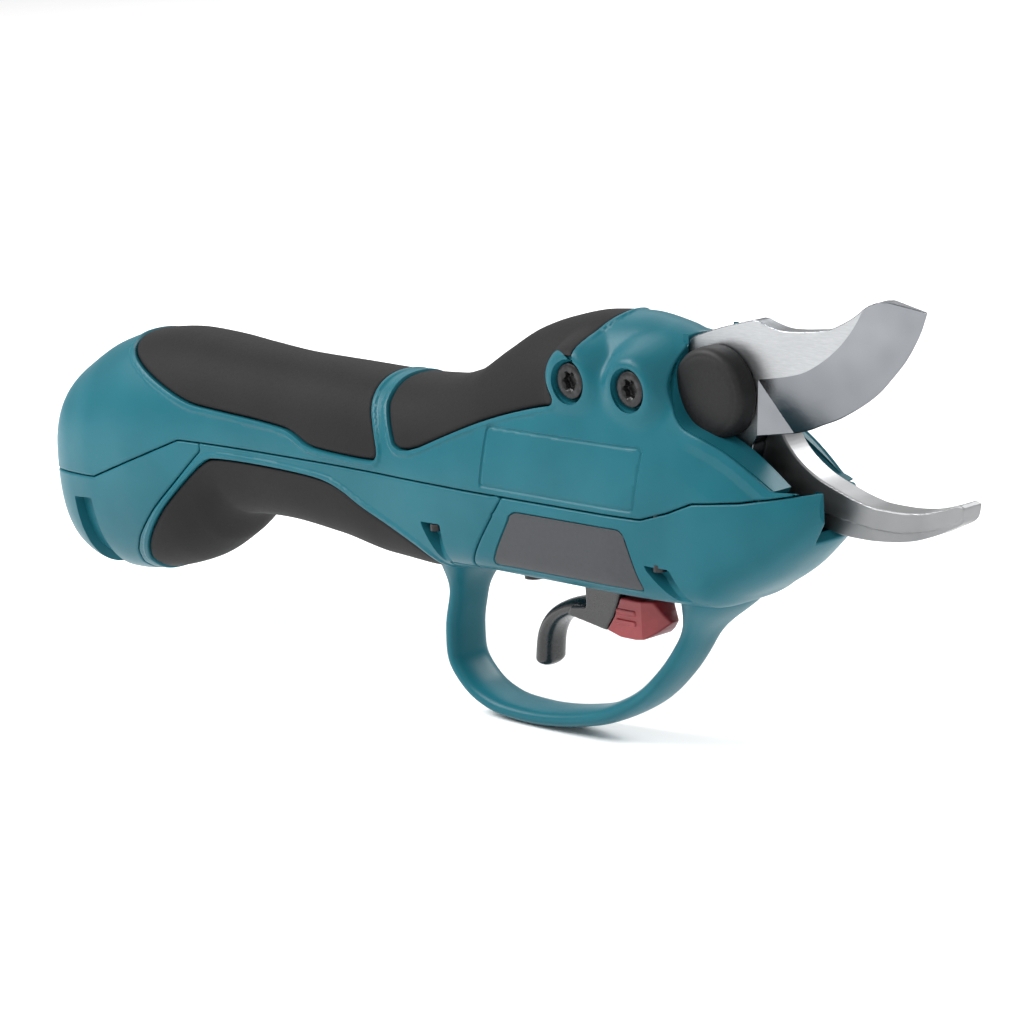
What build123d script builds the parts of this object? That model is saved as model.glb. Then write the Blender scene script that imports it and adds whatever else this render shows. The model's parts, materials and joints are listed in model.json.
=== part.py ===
from build123d import *
import os
from math import atan2, cos, degrees, hypot, pi, radians, sin, tan

os.makedirs("parts", exist_ok=True)

# Battery electric pruner. Frame: origin at the centre of the power socket's mouth,
# +X along the tool towards the blades, +Z up, -Y the side with the rating label.

# ---- driving dimensions, millimetres ----
rear_length = 72.0      # socket mouth to the start of the straight grip
grip_length = 58.0      # straight grip around the motor and gear stage
head_length = 107.0     # end of the grip to the blade pivot
nose_length = 29.5      # blade pivot to the tip of the nose
pivot_height = 41.5     # blade pivot above the socket axis
drive_height = 16.0     # motor and screw axis above the socket axis

skin = 1.8              # rubber overmould
wall = 2.4              # housing wall under the rubber
label_thickness = 0.5
socket_proud = 3.0      # socket flange standing out of the rear face

blade_thickness = 4.0
hook_thickness = 6.0
blade_gap = 0.2         # between blade and hook
close_angle = 44.0      # swing of the blade from open to closed
open_lean = 8.0         # drive tail's lean ahead of square to the screw, blade open
bolt_radius = 5.0
bush_wall = 1.5
eye_radius = 14.0       # blade around its pivot
running_fit = 0.05      # radial clearance of every shaft in its hole
seat_gap = 0.3          # clearance between curved neighbours

motor_radius = 12.0
motor_length = 40.0
shaft_radius = 2.5
gear_module = 0.5
sun_teeth = 12
planet_teeth = 12
gear_width = 10.0
screw_radius = 4.0
nut_radius = 7.5
nut_length = 17.0
yoke_pin_radius = 2.5
slot_clearance = 0.35   # each side of the yoke pin in the blade's tail
frame_thickness = 3.0

guard_half_width = 5.9
guard_half_thickness = 2.2
trigger_half_width = 4.2
trigger_half_thickness = 2.2

# ---- places worked out from them ----
pivot_x = rear_length + grip_length + head_length
grip_end = rear_length + grip_length
nose_x = pivot_x + nose_length
grip_half_width = motor_radius + seat_gap + wall + skin
shell = skin + wall
blade_far = -blade_gap / 2                      # y of the blade's cutting face
blade_near = blade_far - blade_thickness
hook_near = blade_gap / 2
hook_far = hook_near + hook_thickness
arm_length = pivot_height - drive_height        # pivot to the screw axis
open_lead = arm_length * tan(radians(open_lean))
nut_travel = open_lead + arm_length * tan(radians(close_angle - open_lean))
yoke_pin_x = pivot_x + open_lead                # with the blade open
trigger_x = pivot_x - 41.0
trigger_z = -2.0
lock_x = trigger_x + 7.0
lock_z = trigger_z - 4.5
belly = -7.0                                    # underside of the head

# Body sections: x, top, bottom, half width, height of the widest line, top and bottom exponent.
# Each section is a superellipse, and its two halves share the half width.
REAR_SECTIONS = [
    (socket_proud, 17.0, -20.0, 13.0, 2.0, 2.6, 2.6),
    (4.5, 21.0, -23.0, 15.5, 2.0, 2.5, 2.5),
    (8.0, 25.0, -25.5, 17.5, 3.0, 2.4, 2.5),
    (14.0, 29.0, -27.2, 19.0, 4.0, 2.3, 2.4),
    (24.0, 34.0, -27.4, 20.0, 6.0, 2.3, 2.3),
    (36.0, 37.2, -25.6, 20.0, 8.0, 2.3, 2.3),
    (48.0, 38.2, -22.2, 19.3, 9.0, 2.3, 2.3),
    (60.0, 37.8, -15.6, 18.0, 11.0, 2.3, 2.3),
]
GRIP_SECTIONS = [
    (rear_length, 36.8, -6.8, grip_half_width + 0.5, 12.0, 2.3, 2.4),
    (rear_length + 0.31 * grip_length, 35.6, -5.8, grip_half_width, 12.0, 2.3, 2.6),
    (rear_length + 0.66 * grip_length, 35.3, -7.2, grip_half_width, 12.0, 2.3, 2.7),
    (grip_end, 35.0, -9.4, grip_half_width + 0.5, 11.0, 2.3, 3.0),
]
HEAD_SECTIONS = [
    (pivot_x - 92.0, 35.6, -9.5, 18.0, 10.0, 2.3, 3.4),
    (pivot_x - 79.0, 38.7, -8.0, 18.6, 9.0, 2.3, 4.0),
    (pivot_x - 67.0, 45.5, belly, 19.0, 9.0, 2.2, 4.5),
    (pivot_x - 59.0, 50.0, belly, 19.0, 9.0, 2.1, 4.5),
    (pivot_x - 49.0, 53.4, belly, 19.0, 9.0, 2.1, 4.5),
    (pivot_x - 37.0, 55.9, belly, 19.0, 9.0, 2.1, 4.5),
    (pivot_x - 26.0, 56.5, belly, 19.0, 9.0, 2.1, 4.5),
    (pivot_x - 16.0, 55.2, belly, 18.5, 9.0, 2.1, 4.5),
    (pivot_x - 8.0, 52.5, belly, 18.0, 9.0, 2.1, 4.2),
    (pivot_x + 1.0, 48.0, -6.8, 17.3, 9.0, 2.2, 3.8),
    (pivot_x + 8.0, 42.0, -3.5, 16.0, 10.0, 2.3, 3.2),
    (pivot_x + 15.0, 36.0, 0.5, 14.3, 11.0, 2.4, 2.8),
    (pivot_x + 21.0, 31.0, 5.0, 12.2, 13.0, 2.4, 2.5),
    (nose_x - 3.5, 27.5, 9.5, 9.6, 15.0, 2.4, 2.4),
    (nose_x, 24.0, 14.5, 6.5, 18.0, 2.4, 2.4),
]
SECTIONS = REAR_SECTIONS + GRIP_SECTIONS + HEAD_SECTIONS


def sections_inside(inset):
    """The body sections drawn in by inset, with new end sections inset from both ends."""
    first, last = SECTIONS[0][0] + inset, SECTIONS[-1][0] - inset
    chosen = [s for s in SECTIONS if first + 1.0 < s[0] < last - 1.0]
    ends = []
    for x in (first, last):
        after = next(i for i, s in enumerate(SECTIONS) if s[0] >= x - 1e-9)
        before = max(after - 1, 0)
        a, b = SECTIONS[before], SECTIONS[after]
        share = 0.0 if a is b else (x - a[0]) / (b[0] - a[0])
        ends.append(tuple(p + share * (q - p) for p, q in zip(a, b)))
    rows = [ends[0]] + chosen + [ends[1]]
    return [(x, t - inset, b + inset, w - inset, c, nt, nb) for x, t, b, w, c, nt, nb in rows]


def section_point(row, angle):
    """One point of a superellipse section, as (y, z)."""
    _, top, bottom, half_width, middle, top_power, bottom_power = row
    power = top_power if sin(angle) >= 0 else bottom_power
    height = top - middle if sin(angle) >= 0 else middle - bottom
    y = half_width * abs(cos(angle)) ** (2 / power) * (1 if cos(angle) >= 0 else -1)
    z = middle + height * abs(sin(angle)) ** (2 / power) * (1 if sin(angle) >= 0 else -1)
    return y, z


def body_solid(inset, points=28, start=-1.25):
    """The tool's outer form, drawn in by inset. All sections share one set of knots."""
    with BuildPart() as body:
        for row in sections_inside(inset):
            ring = [section_point(row, start + 2 * pi * i / points) for i in range(points)]
            with BuildSketch(Plane.YZ.offset(row[0])):
                with BuildLine():
                    add(Edge.make_spline(ring, periodic=True, parameters=list(range(points + 1))))
                make_face()
        loft()
    return body.part


def side_prism(outline, y_from=-40.0, y_to=40.0):
    """A closed X-Z outline carried across the tool from y_from to y_to."""
    with BuildPart() as prism:
        with BuildSketch(Plane.XZ.offset(-y_from)):
            with BuildLine():
                Polyline(*outline, close=True)
            make_face()
        extrude(amount=y_from - y_to)
    return prism.part


def cross_pin(x, z, radius, y_from, y_to):
    """A plain cylinder along Y."""
    with BuildPart() as pin:
        with BuildSketch(Plane.XZ.offset(-y_from)):
            with Locations((x, z)):
                Circle(radius)
        extrude(amount=y_from - y_to)
    return pin.part


def upright_pin(x, y, radius, z_from, z_to):
    """A plain cylinder along Z."""
    with BuildPart() as pin:
        with BuildSketch(Plane.XY.offset(z_from)):
            with Locations((x, y)):
                Circle(radius)
        extrude(amount=z_to - z_from)
    return pin.part


def axle_tube(x_from, x_to, radius, bore=0.0):
    """A cylinder or tube on the drive axis."""
    with BuildPart() as tube:
        with BuildSketch(Plane.YZ.offset(x_from)):
            with Locations((0, drive_height)):
                Circle(radius)
                if bore:
                    Circle(bore, mode=Mode.SUBTRACT)
        extrude(amount=x_to - x_from)
    return tube.part


def save(piece, name):
    piece.label = name
    export_step(piece, f"parts/{name}.step")


# ---- parting lines, all as X-Z outlines seen from the side ----
far_below, far_above = -70.0, 80.0
seam_height = 13.3
rear_seam = [(-5.0, -0.2), (25.0, 0.3), (50.0, 9.8), (59.0, 13.3)]
nose_seam = [
    (pivot_x - 14.0, seam_height),
    (pivot_x + 1.0, 18.5),
    (pivot_x + 13.0, 19.6),
    (nose_x + 6.0, 24.5),
]
main_seam = rear_seam + nose_seam
guard_edge = [
    (pivot_x - 58.0, seam_height),
    (pivot_x - 64.2, 4.9),
    (pivot_x - 67.7, 0.0),
    (pivot_x - 70.7, -4.2),
    (pivot_x - 71.0, -5.8),
    (pivot_x - 89.0, -5.8),
    (pivot_x - 89.0, far_below),
]
rear_cover_edge = [(66.9, seam_height), (66.9, 11.3), (55.8, 1.7), (46.3, -6.3), (37.9, -14.2),
                   (33.5, -19.1), (30.9, -23.4), (30.0, far_below)]

upper_region = side_prism(main_seam + [(nose_x + 6.0, far_above), (-5.0, far_above)])
rear_region = side_prism(rear_seam + rear_cover_edge + [(-5.0, far_below)])
grip_region = side_prism(rear_cover_edge[::-1] + guard_edge)
guard_region = side_prism(guard_edge[::-1] + nose_seam + [(nose_x + 6.0, far_below)])

top_grip_edge = [(33.0, far_above), (33.2, 34.8), (40.0, 30.6), (63.3, 22.6), (70.1, 21.4),
                 (98.8, 19.8), (103.0, 18.1), (106.6, 16.2), (grip_end + 3.8, 16.0),
                 (grip_end + 1.8, 23.0), (grip_end - 2.0, 29.0), (grip_end - 4.0, 36.0),
                 (grip_end - 4.0, far_above)]
front_grip_edge = [(pivot_x - 105.0, far_above), (pivot_x - 104.5, 33.0), (pivot_x - 98.0, 23.0),
                   (pivot_x - 95.0, 19.8), (pivot_x - 75.0, 27.6), (pivot_x - 61.0, 32.3),
                   (pivot_x - 43.0, 36.6), (pivot_x - 46.0, 42.0), (pivot_x - 43.0, 47.4),
                   (pivot_x - 35.0, 46.0), (pivot_x - 35.5, 50.5), (pivot_x - 30.0, far_above)]
lower_grip_edge = [(34.0, -60.0), (34.5, -20.0), (48.0, -6.3), (57.6, 1.7), (69.0, 9.2),
                   (95.0, 9.7), (113.0, 9.0), (pivot_x - 112.0, 4.5), (pivot_x - 98.0, 0.2),
                   (pivot_x - 89.0, -3.0), (pivot_x - 89.0, -60.0)]
top_grip_region = side_prism(top_grip_edge)
front_grip_region = side_prism(front_grip_edge)
lower_grip_region = side_prism(lower_grip_edge)

# The head is cut away in front of the cheeks, whose edge turns in to the blades as a wall.
cheek_edge = [
    (pivot_x - 8.3, 51.8), (pivot_x - 9.0, 46.5), (pivot_x - 9.0, 39.0), (pivot_x - 5.0, 34.5),
    (pivot_x + 2.3, 32.9), (pivot_x + 9.0, 29.8), (pivot_x + 14.5, 26.7), (pivot_x + 20.4, 22.6),
]
cheek_front = side_prism([(pivot_x - 8.0, far_above)] + cheek_edge
                         + [(nose_x + 5.0, 21.5), (nose_x + 5.0, far_above)])
cheek_wall_path = [(x - wall, z - 1.6) for x, z in reversed(cheek_edge)]
cheek_wall = side_prism(cheek_edge + cheek_wall_path)
cap_radius = 10.4
cap_room = cross_pin(pivot_x, pivot_height, cap_radius + 0.8, -11.6, 11.6)
slot_near = blade_near - 0.5
slot_far = hook_far + 0.4
blade_slot = side_prism([
    (pivot_x - 8.0, far_above), (pivot_x - 9.0, 53.2), (pivot_x - 20.0, 44.0),
    (pivot_x - 20.0, 14.0), (pivot_x + 11.0, 14.0), (pivot_x + 15.0, 10.6),
    (nose_x + 5.0, 10.6), (nose_x + 5.0, far_above),
], slot_near, slot_far)
plate_slot = side_prism([
    (pivot_x - 20.0, far_above), (pivot_x - 20.0, 20.0), (pivot_x + 10.0, 20.0),
    (pivot_x + 10.0, far_above),
], slot_near, hook_far + frame_thickness + 0.3)

outer_body = body_solid(0.0)
under_skin = body_solid(skin)
under_label = body_solid(label_thickness)
cavity = body_solid(shell)

# ---- rubber overmoulds: the outermost layer of the body inside each grip edge ----
with BuildPart() as skin_layer:
    add(outer_body)
    add(under_skin, mode=Mode.SUBTRACT)

with BuildPart() as top_grip_rubber:
    add(skin_layer.part)
    add(top_grip_region, mode=Mode.INTERSECT)
save(top_grip_rubber.part, "top_grip_rubber")

side_boss_x = (pivot_x - 17.5, pivot_x - 36.5)
side_boss_z = pivot_height + 0.5
boss_radius = 8.0
boss_reach = 16.5
screw_head_radius = 4.2
counterbore_radius = 5.5

with BuildPart() as front_grip_rubber:
    add(skin_layer.part)
    add(front_grip_region, mode=Mode.INTERSECT)
    add(cross_pin(side_boss_x[1], side_boss_z, boss_radius, -30, 30), mode=Mode.SUBTRACT)
save(front_grip_rubber.part, "front_grip_rubber")

with BuildPart() as lower_grip_rubber:
    add(skin_layer.part)
    add(lower_grip_region, mode=Mode.INTERSECT)
save(lower_grip_rubber.part, "lower_grip_rubber")

# ---- power socket in the rear face ----
socket_bore = 8.5
socket_bore_length = 7.0
socket_body_radius = 10.8
socket_length = 20.0
socket_floor = 4.0
contact_radius = 1.0
with BuildPart() as socket_ring:
    with BuildSketch(Plane.YZ):
        Circle(socket_body_radius + 0.7)
    extrude(amount=socket_proud)
    with BuildSketch(Plane.YZ.offset(socket_proud)):
        Circle(socket_body_radius)
    extrude(amount=socket_length - socket_proud)
    with BuildSketch(Plane.YZ):
        Circle(socket_bore)
    extrude(amount=socket_bore_length, mode=Mode.SUBTRACT)
    with BuildSketch(Plane.YZ.offset(socket_bore_length)):
        Circle(socket_bore - 1.5)
    extrude(amount=socket_length - socket_floor - socket_bore_length, mode=Mode.SUBTRACT)
save(socket_ring.part, "socket_ring")

with BuildPart() as socket_contacts:
    with BuildSketch(Plane.YZ.offset(socket_bore_length + 2.5)):
        with PolarLocations(4.0, 5):
            Circle(contact_radius)
    extrude(amount=socket_length - socket_floor - socket_bore_length - 2.5)
save(socket_contacts.part, "socket_contacts")

with BuildPart() as socket_passage:
    with BuildSketch(Plane.YZ.offset(-1.0)):
        Circle(socket_body_radius)
    extrude(amount=socket_length + 2.0)

# ---- housing pieces ----
scoop_x = (pivot_x - 87.0, pivot_x - 13.5)      # pockets for the cover screws
scoop_depth_y = 14.9
scoop_ledge = 3.6
cover_screw_y = 16.6
cover_screw_top = 17.0
with BuildPart() as pocketed_body:
    add(outer_body)
    for x in scoop_x:
        pocket = [(x, scoop_ledge), (x + 7.4, scoop_ledge), (x + 9.5, -12.0), (x + 7.5, -12.0)]
        for side in (-1, 1):
            add(side_prism(pocket, side * scoop_depth_y, side * 30.0), mode=Mode.SUBTRACT)
            screw_hole = upright_pin(x + 3.8, side * cover_screw_y, 1.0, 0.0, cover_screw_top)
            add(screw_hole, mode=Mode.SUBTRACT)

frame_far = hook_far + frame_thickness
screw_seat = frame_far + 1.0                    # inner end of each side screw boss
with BuildPart() as side_bosses:
    for x in side_boss_x:
        add(cross_pin(x, side_boss_z, boss_radius, -boss_reach, -screw_seat))
        add(cross_pin(x, side_boss_z, boss_radius, screw_seat, boss_reach))
with BuildPart() as side_boss_holes:
    for x in side_boss_x:
        add(cross_pin(x, side_boss_z, 2.2, -30, 30))
        add(cross_pin(x, side_boss_z, counterbore_radius, -30, -boss_reach + 3.0))
        add(cross_pin(x, side_boss_z, counterbore_radius, boss_reach - 3.0, 30))

with BuildPart() as recess_wall:
    add(cheek_wall)
    add(under_skin, mode=Mode.INTERSECT)
    add(upper_region, mode=Mode.INTERSECT)
    add(plate_slot, mode=Mode.SUBTRACT)

with BuildPart() as upper_housing:
    add(pocketed_body.part)
    add(upper_region, mode=Mode.INTERSECT)
    add(top_grip_rubber.part, mode=Mode.SUBTRACT)
    add(front_grip_rubber.part, mode=Mode.SUBTRACT)
    add(cavity, mode=Mode.SUBTRACT)
    add(cheek_front, mode=Mode.SUBTRACT)
    add(recess_wall.part)
    add(side_bosses.part)
    add(side_boss_holes.part, mode=Mode.SUBTRACT)
    add(cap_room, mode=Mode.SUBTRACT)
    add(blade_slot, mode=Mode.SUBTRACT)
    add(socket_passage.part, mode=Mode.SUBTRACT)
save(upper_housing.part, "upper_housing")

latch_slot = side_prism([(14.0, -6.2), (22.0, -5.7), (22.0, -40.0), (14.0, -40.0)])
with BuildPart() as latch_slots:
    add(latch_slot)
    add(body_solid(3.0), mode=Mode.SUBTRACT)
with BuildPart() as rear_lower_cover:
    add(outer_body)
    add(rear_region, mode=Mode.INTERSECT)
    add(cavity, mode=Mode.SUBTRACT)
    add(socket_passage.part, mode=Mode.SUBTRACT)
    add(latch_slots.part, mode=Mode.SUBTRACT)
save(rear_lower_cover.part, "rear_lower_cover")

with BuildPart() as lower_grip_shell:
    add(pocketed_body.part)
    add(grip_region, mode=Mode.INTERSECT)
    add(lower_grip_rubber.part, mode=Mode.SUBTRACT)
    add(cavity, mode=Mode.SUBTRACT)
save(lower_grip_shell.part, "lower_grip_shell")

label_outline = [(pivot_x - 54.8, 10.3), (pivot_x - 19.4, 10.3), (pivot_x - 14.2, -3.5),
                 (pivot_x - 63.3, -3.5)]
with BuildPart() as rating_label:
    add(outer_body)
    add(under_label, mode=Mode.SUBTRACT)
    add(side_prism(label_outline, -30.0, -10.0), mode=Mode.INTERSECT)
save(rating_label.part, "rating_label")

# Guard loop: an elliptic strap along a smooth curve, flared into the belly at its rear root.
loop_path = [
    (pivot_x - 88.0, -4.0), (pivot_x - 91.5, -14.0), (pivot_x - 94.0, -25.6),
    (pivot_x - 94.0, -33.0), (pivot_x - 90.1, -38.6), (pivot_x - 81.3, -43.0),
    (pivot_x - 68.4, -44.0), (pivot_x - 51.8, -42.0), (pivot_x - 37.2, -37.3),
    (pivot_x - 26.1, -30.4), (pivot_x - 17.1, -20.4), (pivot_x - 10.5, -9.0),
    (pivot_x - 7.5, -2.0),
]
slot_half_width = trigger_half_width + 1.8
guard_screw_x = pivot_x - 59.0
guard_screw_y = 8.5
guard_screw_floor = belly + 0.7
with BuildPart() as guard_shell:
    add(pocketed_body.part)
    add(guard_region, mode=Mode.INTERSECT)
    add(cavity, mode=Mode.SUBTRACT)

with BuildPart() as guard_housing:
    with BuildLine(Plane.XZ) as loop_line:
        Spline(*loop_path)
    with BuildSketch(Plane(origin=loop_line.line @ 0, x_dir=(0, 1, 0), z_dir=loop_line.line % 0)):
        Ellipse(guard_half_width, guard_half_thickness)
    sweep()
    with BuildSketch(Plane.XY.offset(-20.0)):
        with Locations((pivot_x - 92.9, 0)):
            Ellipse(guard_half_thickness, guard_half_width)
    with BuildSketch(Plane.XY.offset(-12.0)):
        with Locations((pivot_x - 87.5, 0)):
            Ellipse(4.8, 8.0)
    with BuildSketch(Plane.XY.offset(-5.8)):
        with Locations((pivot_x - 80.0, 0)):
            Ellipse(9.0, 13.0)
    loft()
    add(guard_shell.part)
    add(cavity, mode=Mode.SUBTRACT)
    add(lower_grip_shell.part, mode=Mode.SUBTRACT)
    add(lower_grip_rubber.part, mode=Mode.SUBTRACT)
    # pocket for the trigger, ears that carry its pin, and seats for the belly screws
    for side in (-1, 1):
        with BuildSketch(Plane.XY.offset(belly + 1.0)):
            with Locations((trigger_x, side * (slot_half_width + 1.7))):
                Rectangle(8.0, 2.8)
        extrude(amount=trigger_z - belly + 3.0)
        add(upright_pin(guard_screw_x, side * guard_screw_y, 1.2, -20.0, 0.0), mode=Mode.SUBTRACT)
        add(upright_pin(guard_screw_x, side * guard_screw_y, 2.6, -20.0, guard_screw_floor),
            mode=Mode.SUBTRACT)
    add(cross_pin(trigger_x, trigger_z, 1.5, -20.0, 20.0), mode=Mode.SUBTRACT)
    with BuildSketch(Plane.XY.offset(-25.0)):
        with Locations((trigger_x + 5.5, 0)):
            Rectangle(33.0, 2 * slot_half_width)
    extrude(amount=28.0, mode=Mode.SUBTRACT)
    add(rating_label.part, mode=Mode.SUBTRACT)
    add(blade_slot, mode=Mode.SUBTRACT)
save(guard_housing.part, "guard_housing")


# ---- head frame: a machined bracket from the gear case to the pivot ----
gear_start = rear_length + motor_length
ring_start = gear_start + 2.0
carrier_start = ring_start + gear_width + 1.0
bearing_start = carrier_start + 5.0
bearing_width = 8.0
gear_case_end = bearing_start + bearing_width + 1.0
screw_end = yoke_pin_x - nut_travel - 13.5
nut_front = screw_end + 2.0
bulkhead = 4.0
frame_eye = 8.0
frame_side = [
    (pivot_x - 46.0, 4.5), (gear_case_end, 6.0), (gear_case_end, 27.0), (pivot_x - 80.0, 27.5),
    (pivot_x - 58.0, 32.0), (pivot_x - 46.0, 46.0), (pivot_x - 24.0, 49.0),
]
frame_side_far = frame_side + [
    (pivot_x - 9.4, pivot_height + 5.5), (pivot_x - 9.4, 28.0), (pivot_x - 20.0, 27.0),
    (pivot_x - 22.0, 4.5),
]
frame_side_near = frame_side + [
    (pivot_x - 15.0, pivot_height + 4.0), (pivot_x - 14.5, pivot_height - 4.0),
    (pivot_x - 22.0, 34.0), (pivot_x - 22.0, 4.5),
]
frame_nose = [
    (pivot_x - 9.5, pivot_height - 1.0), (pivot_x - 5.0, pivot_height + 6.2),
    (pivot_x, pivot_height), (pivot_x + 5.0, pivot_height - 6.2), (pivot_x - 3.0, 28.5),
    (pivot_x - 9.5, 28.0),
]
nut_window = [
    (gear_case_end + bulkhead, drive_height - nut_radius - 0.8),
    (gear_case_end + bulkhead, drive_height + nut_radius + 0.8),
    (pivot_x - 26.0, drive_height + nut_radius + 0.8),
    (pivot_x - 26.0, drive_height - nut_radius - 0.8),
]
with BuildPart() as head_frame:
    add(side_prism(frame_side_far, hook_far, frame_far))
    add(side_prism(frame_side_near, -frame_far, -hook_far))
    add(body_solid(shell + seat_gap), mode=Mode.INTERSECT)
    add(side_prism(frame_nose, hook_far, frame_far))
    add(cross_pin(pivot_x, pivot_height, frame_eye, hook_far, frame_far))
    add(side_prism(nut_window), mode=Mode.SUBTRACT)
    with BuildSketch(Plane.YZ.offset(gear_case_end)):
        with Locations((0, drive_height)):
            Rectangle(2 * frame_far, 20.0)
            Circle(screw_radius + 1.0, mode=Mode.SUBTRACT)
    extrude(amount=bulkhead)
    add(cross_pin(pivot_x, pivot_height, bolt_radius, 0, 20), mode=Mode.SUBTRACT)
    for x in side_boss_x:
        add(cross_pin(x, side_boss_z, 2.0, -20, 20), mode=Mode.SUBTRACT)
save(head_frame.part, "head_frame")


# ---- the two blades, drawn from the pivot ----
def from_pivot(points):
    """Points given from the pivot, as X-Z points of the tool."""
    return [(pivot_x + x, pivot_height + z) for x, z in points]


cutting_edge = from_pivot([(56.3, 20.4), (50.7, 11.0), (42.5, 2.9), (34.3, -2.2), (26.1, -5.7),
                           (17.0, -8.6), (10.0, -9.8)])
bevel_line = from_pivot([(44.0, 23.5), (38.3, 16.2), (31.5, 10.2), (25.0, 6.6), (18.5, 4.8),
                         (10.9, 3.5), (9.6, -5.0)])
spine = from_pivot([(-8.1, 11.4), (0.5, 14.2), (10.3, 16.6), (13.3, 16.0), (19.1, 14.9),
                    (27.3, 15.5), (31.9, 16.3), (37.5, 18.7), (43.5, 22.5), (46.5, 23.4)])
blade_tip = from_pivot([(51.0, 23.3), (56.8, 21.6)])


def pin_path(swing):
    """Where the yoke pin sits in the blade, from the pivot, after a swing in degrees.

    The pin moves along the screw in proportion to the swing, and the blade turns under it.
    """
    turn = radians(swing)
    x = open_lead - nut_travel * swing / close_angle
    z = -arm_length
    return x * cos(turn) - z * sin(turn), x * sin(turn) + z * cos(turn)


fork_end = hypot(*pin_path(close_angle)) + 1.6
slot_radius = yoke_pin_radius + slot_clearance
fork_half = slot_radius + 3.0
tail_middle = pin_path(close_angle / 2)[0] + 0.7
tail = from_pivot([
    (-12.0, -6.0), (-9.0, -10.7), (tail_middle - fork_half, -20.0),
    (tail_middle - fork_half, -fork_end), (tail_middle + fork_half, -fork_end),
    (tail_middle + fork_half, -24.0), (6.2, -19.0), (6.5, -17.0), (8.6, -10.0),
])
bush_radius = bolt_radius + running_fit + bush_wall
with BuildPart() as cam_slot:
    with BuildSketch(Plane.XZ.offset(20.0)):
        for step in range(14):
            x0, z0 = pin_path(close_angle * step / 11)
            x1, z1 = pin_path(close_angle * (step + 1) / 11)
            with Locations((pivot_x + (x0 + x1) / 2, pivot_height + (z0 + z1) / 2)):
                SlotCenterToCenter(hypot(x1 - x0, z1 - z0), 2 * slot_radius,
                                   rotation=degrees(atan2(z1 - z0, x1 - x0)))
    extrude(amount=-40.0)

with BuildPart() as bevel_cut:
    edge_land = 0.4
    for (edge_x, edge_z), (line_x, line_z) in zip(cutting_edge, bevel_line):
        run = hypot(line_x - edge_x, line_z - edge_z)
        ux, uz = (line_x - edge_x) / run, (line_z - edge_z) / run
        rise = (blade_thickness - edge_land) / run
        outward = 0.3 * run
        clear = blade_thickness + 2.0
        with BuildSketch(Plane(origin=(edge_x, blade_far, edge_z), x_dir=(ux, 0, uz),
                               z_dir=(uz, 0, -ux))):
            with BuildLine():
                Polyline((-outward, edge_land - rise * outward), (-outward, clear),
                         (run * 1.02, clear), (run * 1.02, blade_thickness + rise * run * 0.02),
                         close=True)
            make_face()
    loft(ruled=True)

with BuildPart() as blade:
    with BuildSketch(Plane.XZ.offset(-blade_far)):
        with BuildLine():
            Spline(*spine)
            Polyline(spine[-1], *blade_tip, cutting_edge[0])
            Spline(*cutting_edge)
            Polyline(cutting_edge[-1], (pivot_x - 4.0, pivot_height - 6.0), spine[0])
        make_face()
        with Locations((pivot_x, pivot_height)):
            Circle(eye_radius)
    extrude(amount=blade_thickness)
    add(bevel_cut.part, mode=Mode.SUBTRACT)
    add(side_prism(tail, blade_near, blade_far))
    add(cam_slot.part, mode=Mode.SUBTRACT)
    add(cross_pin(pivot_x, pivot_height, bush_radius, -20, 20), mode=Mode.SUBTRACT)
save(blade.part, "blade")

with BuildPart() as blade_bush:
    add(cross_pin(pivot_x, pivot_height, bush_radius, blade_near, blade_far))
    add(cross_pin(pivot_x, pivot_height, bolt_radius + running_fit, -20, 20), mode=Mode.SUBTRACT)
save(blade_bush.part, "blade_bush")

anvil = from_pivot([(12.0, -5.5), (13.6, -9.3), (16.0, -12.6), (19.6, -15.6), (23.9, -18.0),
                    (28.9, -19.8), (34.4, -21.5), (39.9, -22.5), (46.0, -22.6), (52.1, -22.1),
                    (57.6, -20.8), (63.0, -19.0)])
hook_back = from_pivot([(64.5, -19.5), (63.5, -22.7), (59.2, -25.1), (54.3, -27.2), (48.2, -29.0),
                        (42.0, -29.9), (35.8, -30.3), (30.2, -30.2), (25.8, -29.6),
                        (19.0, -27.6)])
hook_tang = from_pivot([(12.0, -22.5), (10.0, -19.2), (0.0, -18.6), (-12.0, -13.0),
                        (-25.0, -8.0), (-25.0, 2.0), (-10.0, 7.6), (0.0, 3.0)])
with BuildPart() as hook_blade:
    with BuildSketch(Plane.XZ.offset(-hook_near)):
        with BuildLine():
            Spline(*anvil)
            Polyline(anvil[-1], hook_back[0])
            Spline(*hook_back)
            Polyline(hook_back[-1], *hook_tang, anvil[0])
        make_face()
        with Locations((pivot_x, pivot_height)):
            Circle(eye_radius - 1.0)
    extrude(amount=-hook_thickness)
    add(cross_pin(pivot_x, pivot_height, bolt_radius, -20, 20), mode=Mode.SUBTRACT)
    add(cross_pin(side_boss_x[0], side_boss_z, 2.0, -20, 20), mode=Mode.SUBTRACT)
save(hook_blade.part, "hook_blade")

# ---- pivot bolt, its washer, toothed lock ring, nut and cap ----
bolt_head_radius = 7.0
bolt_head = 3.5
washer_thickness = 0.9
lock_ring_thickness = 1.5
nut_height = 4.0
washer_near = blade_near - 0.1 - washer_thickness
with BuildPart() as pivot_washer:
    add(cross_pin(pivot_x, pivot_height, bolt_head_radius, washer_near, blade_near - 0.1))
    add(cross_pin(pivot_x, pivot_height, bolt_radius, -20, 20), mode=Mode.SUBTRACT)
save(pivot_washer.part, "pivot_washer")

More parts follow.
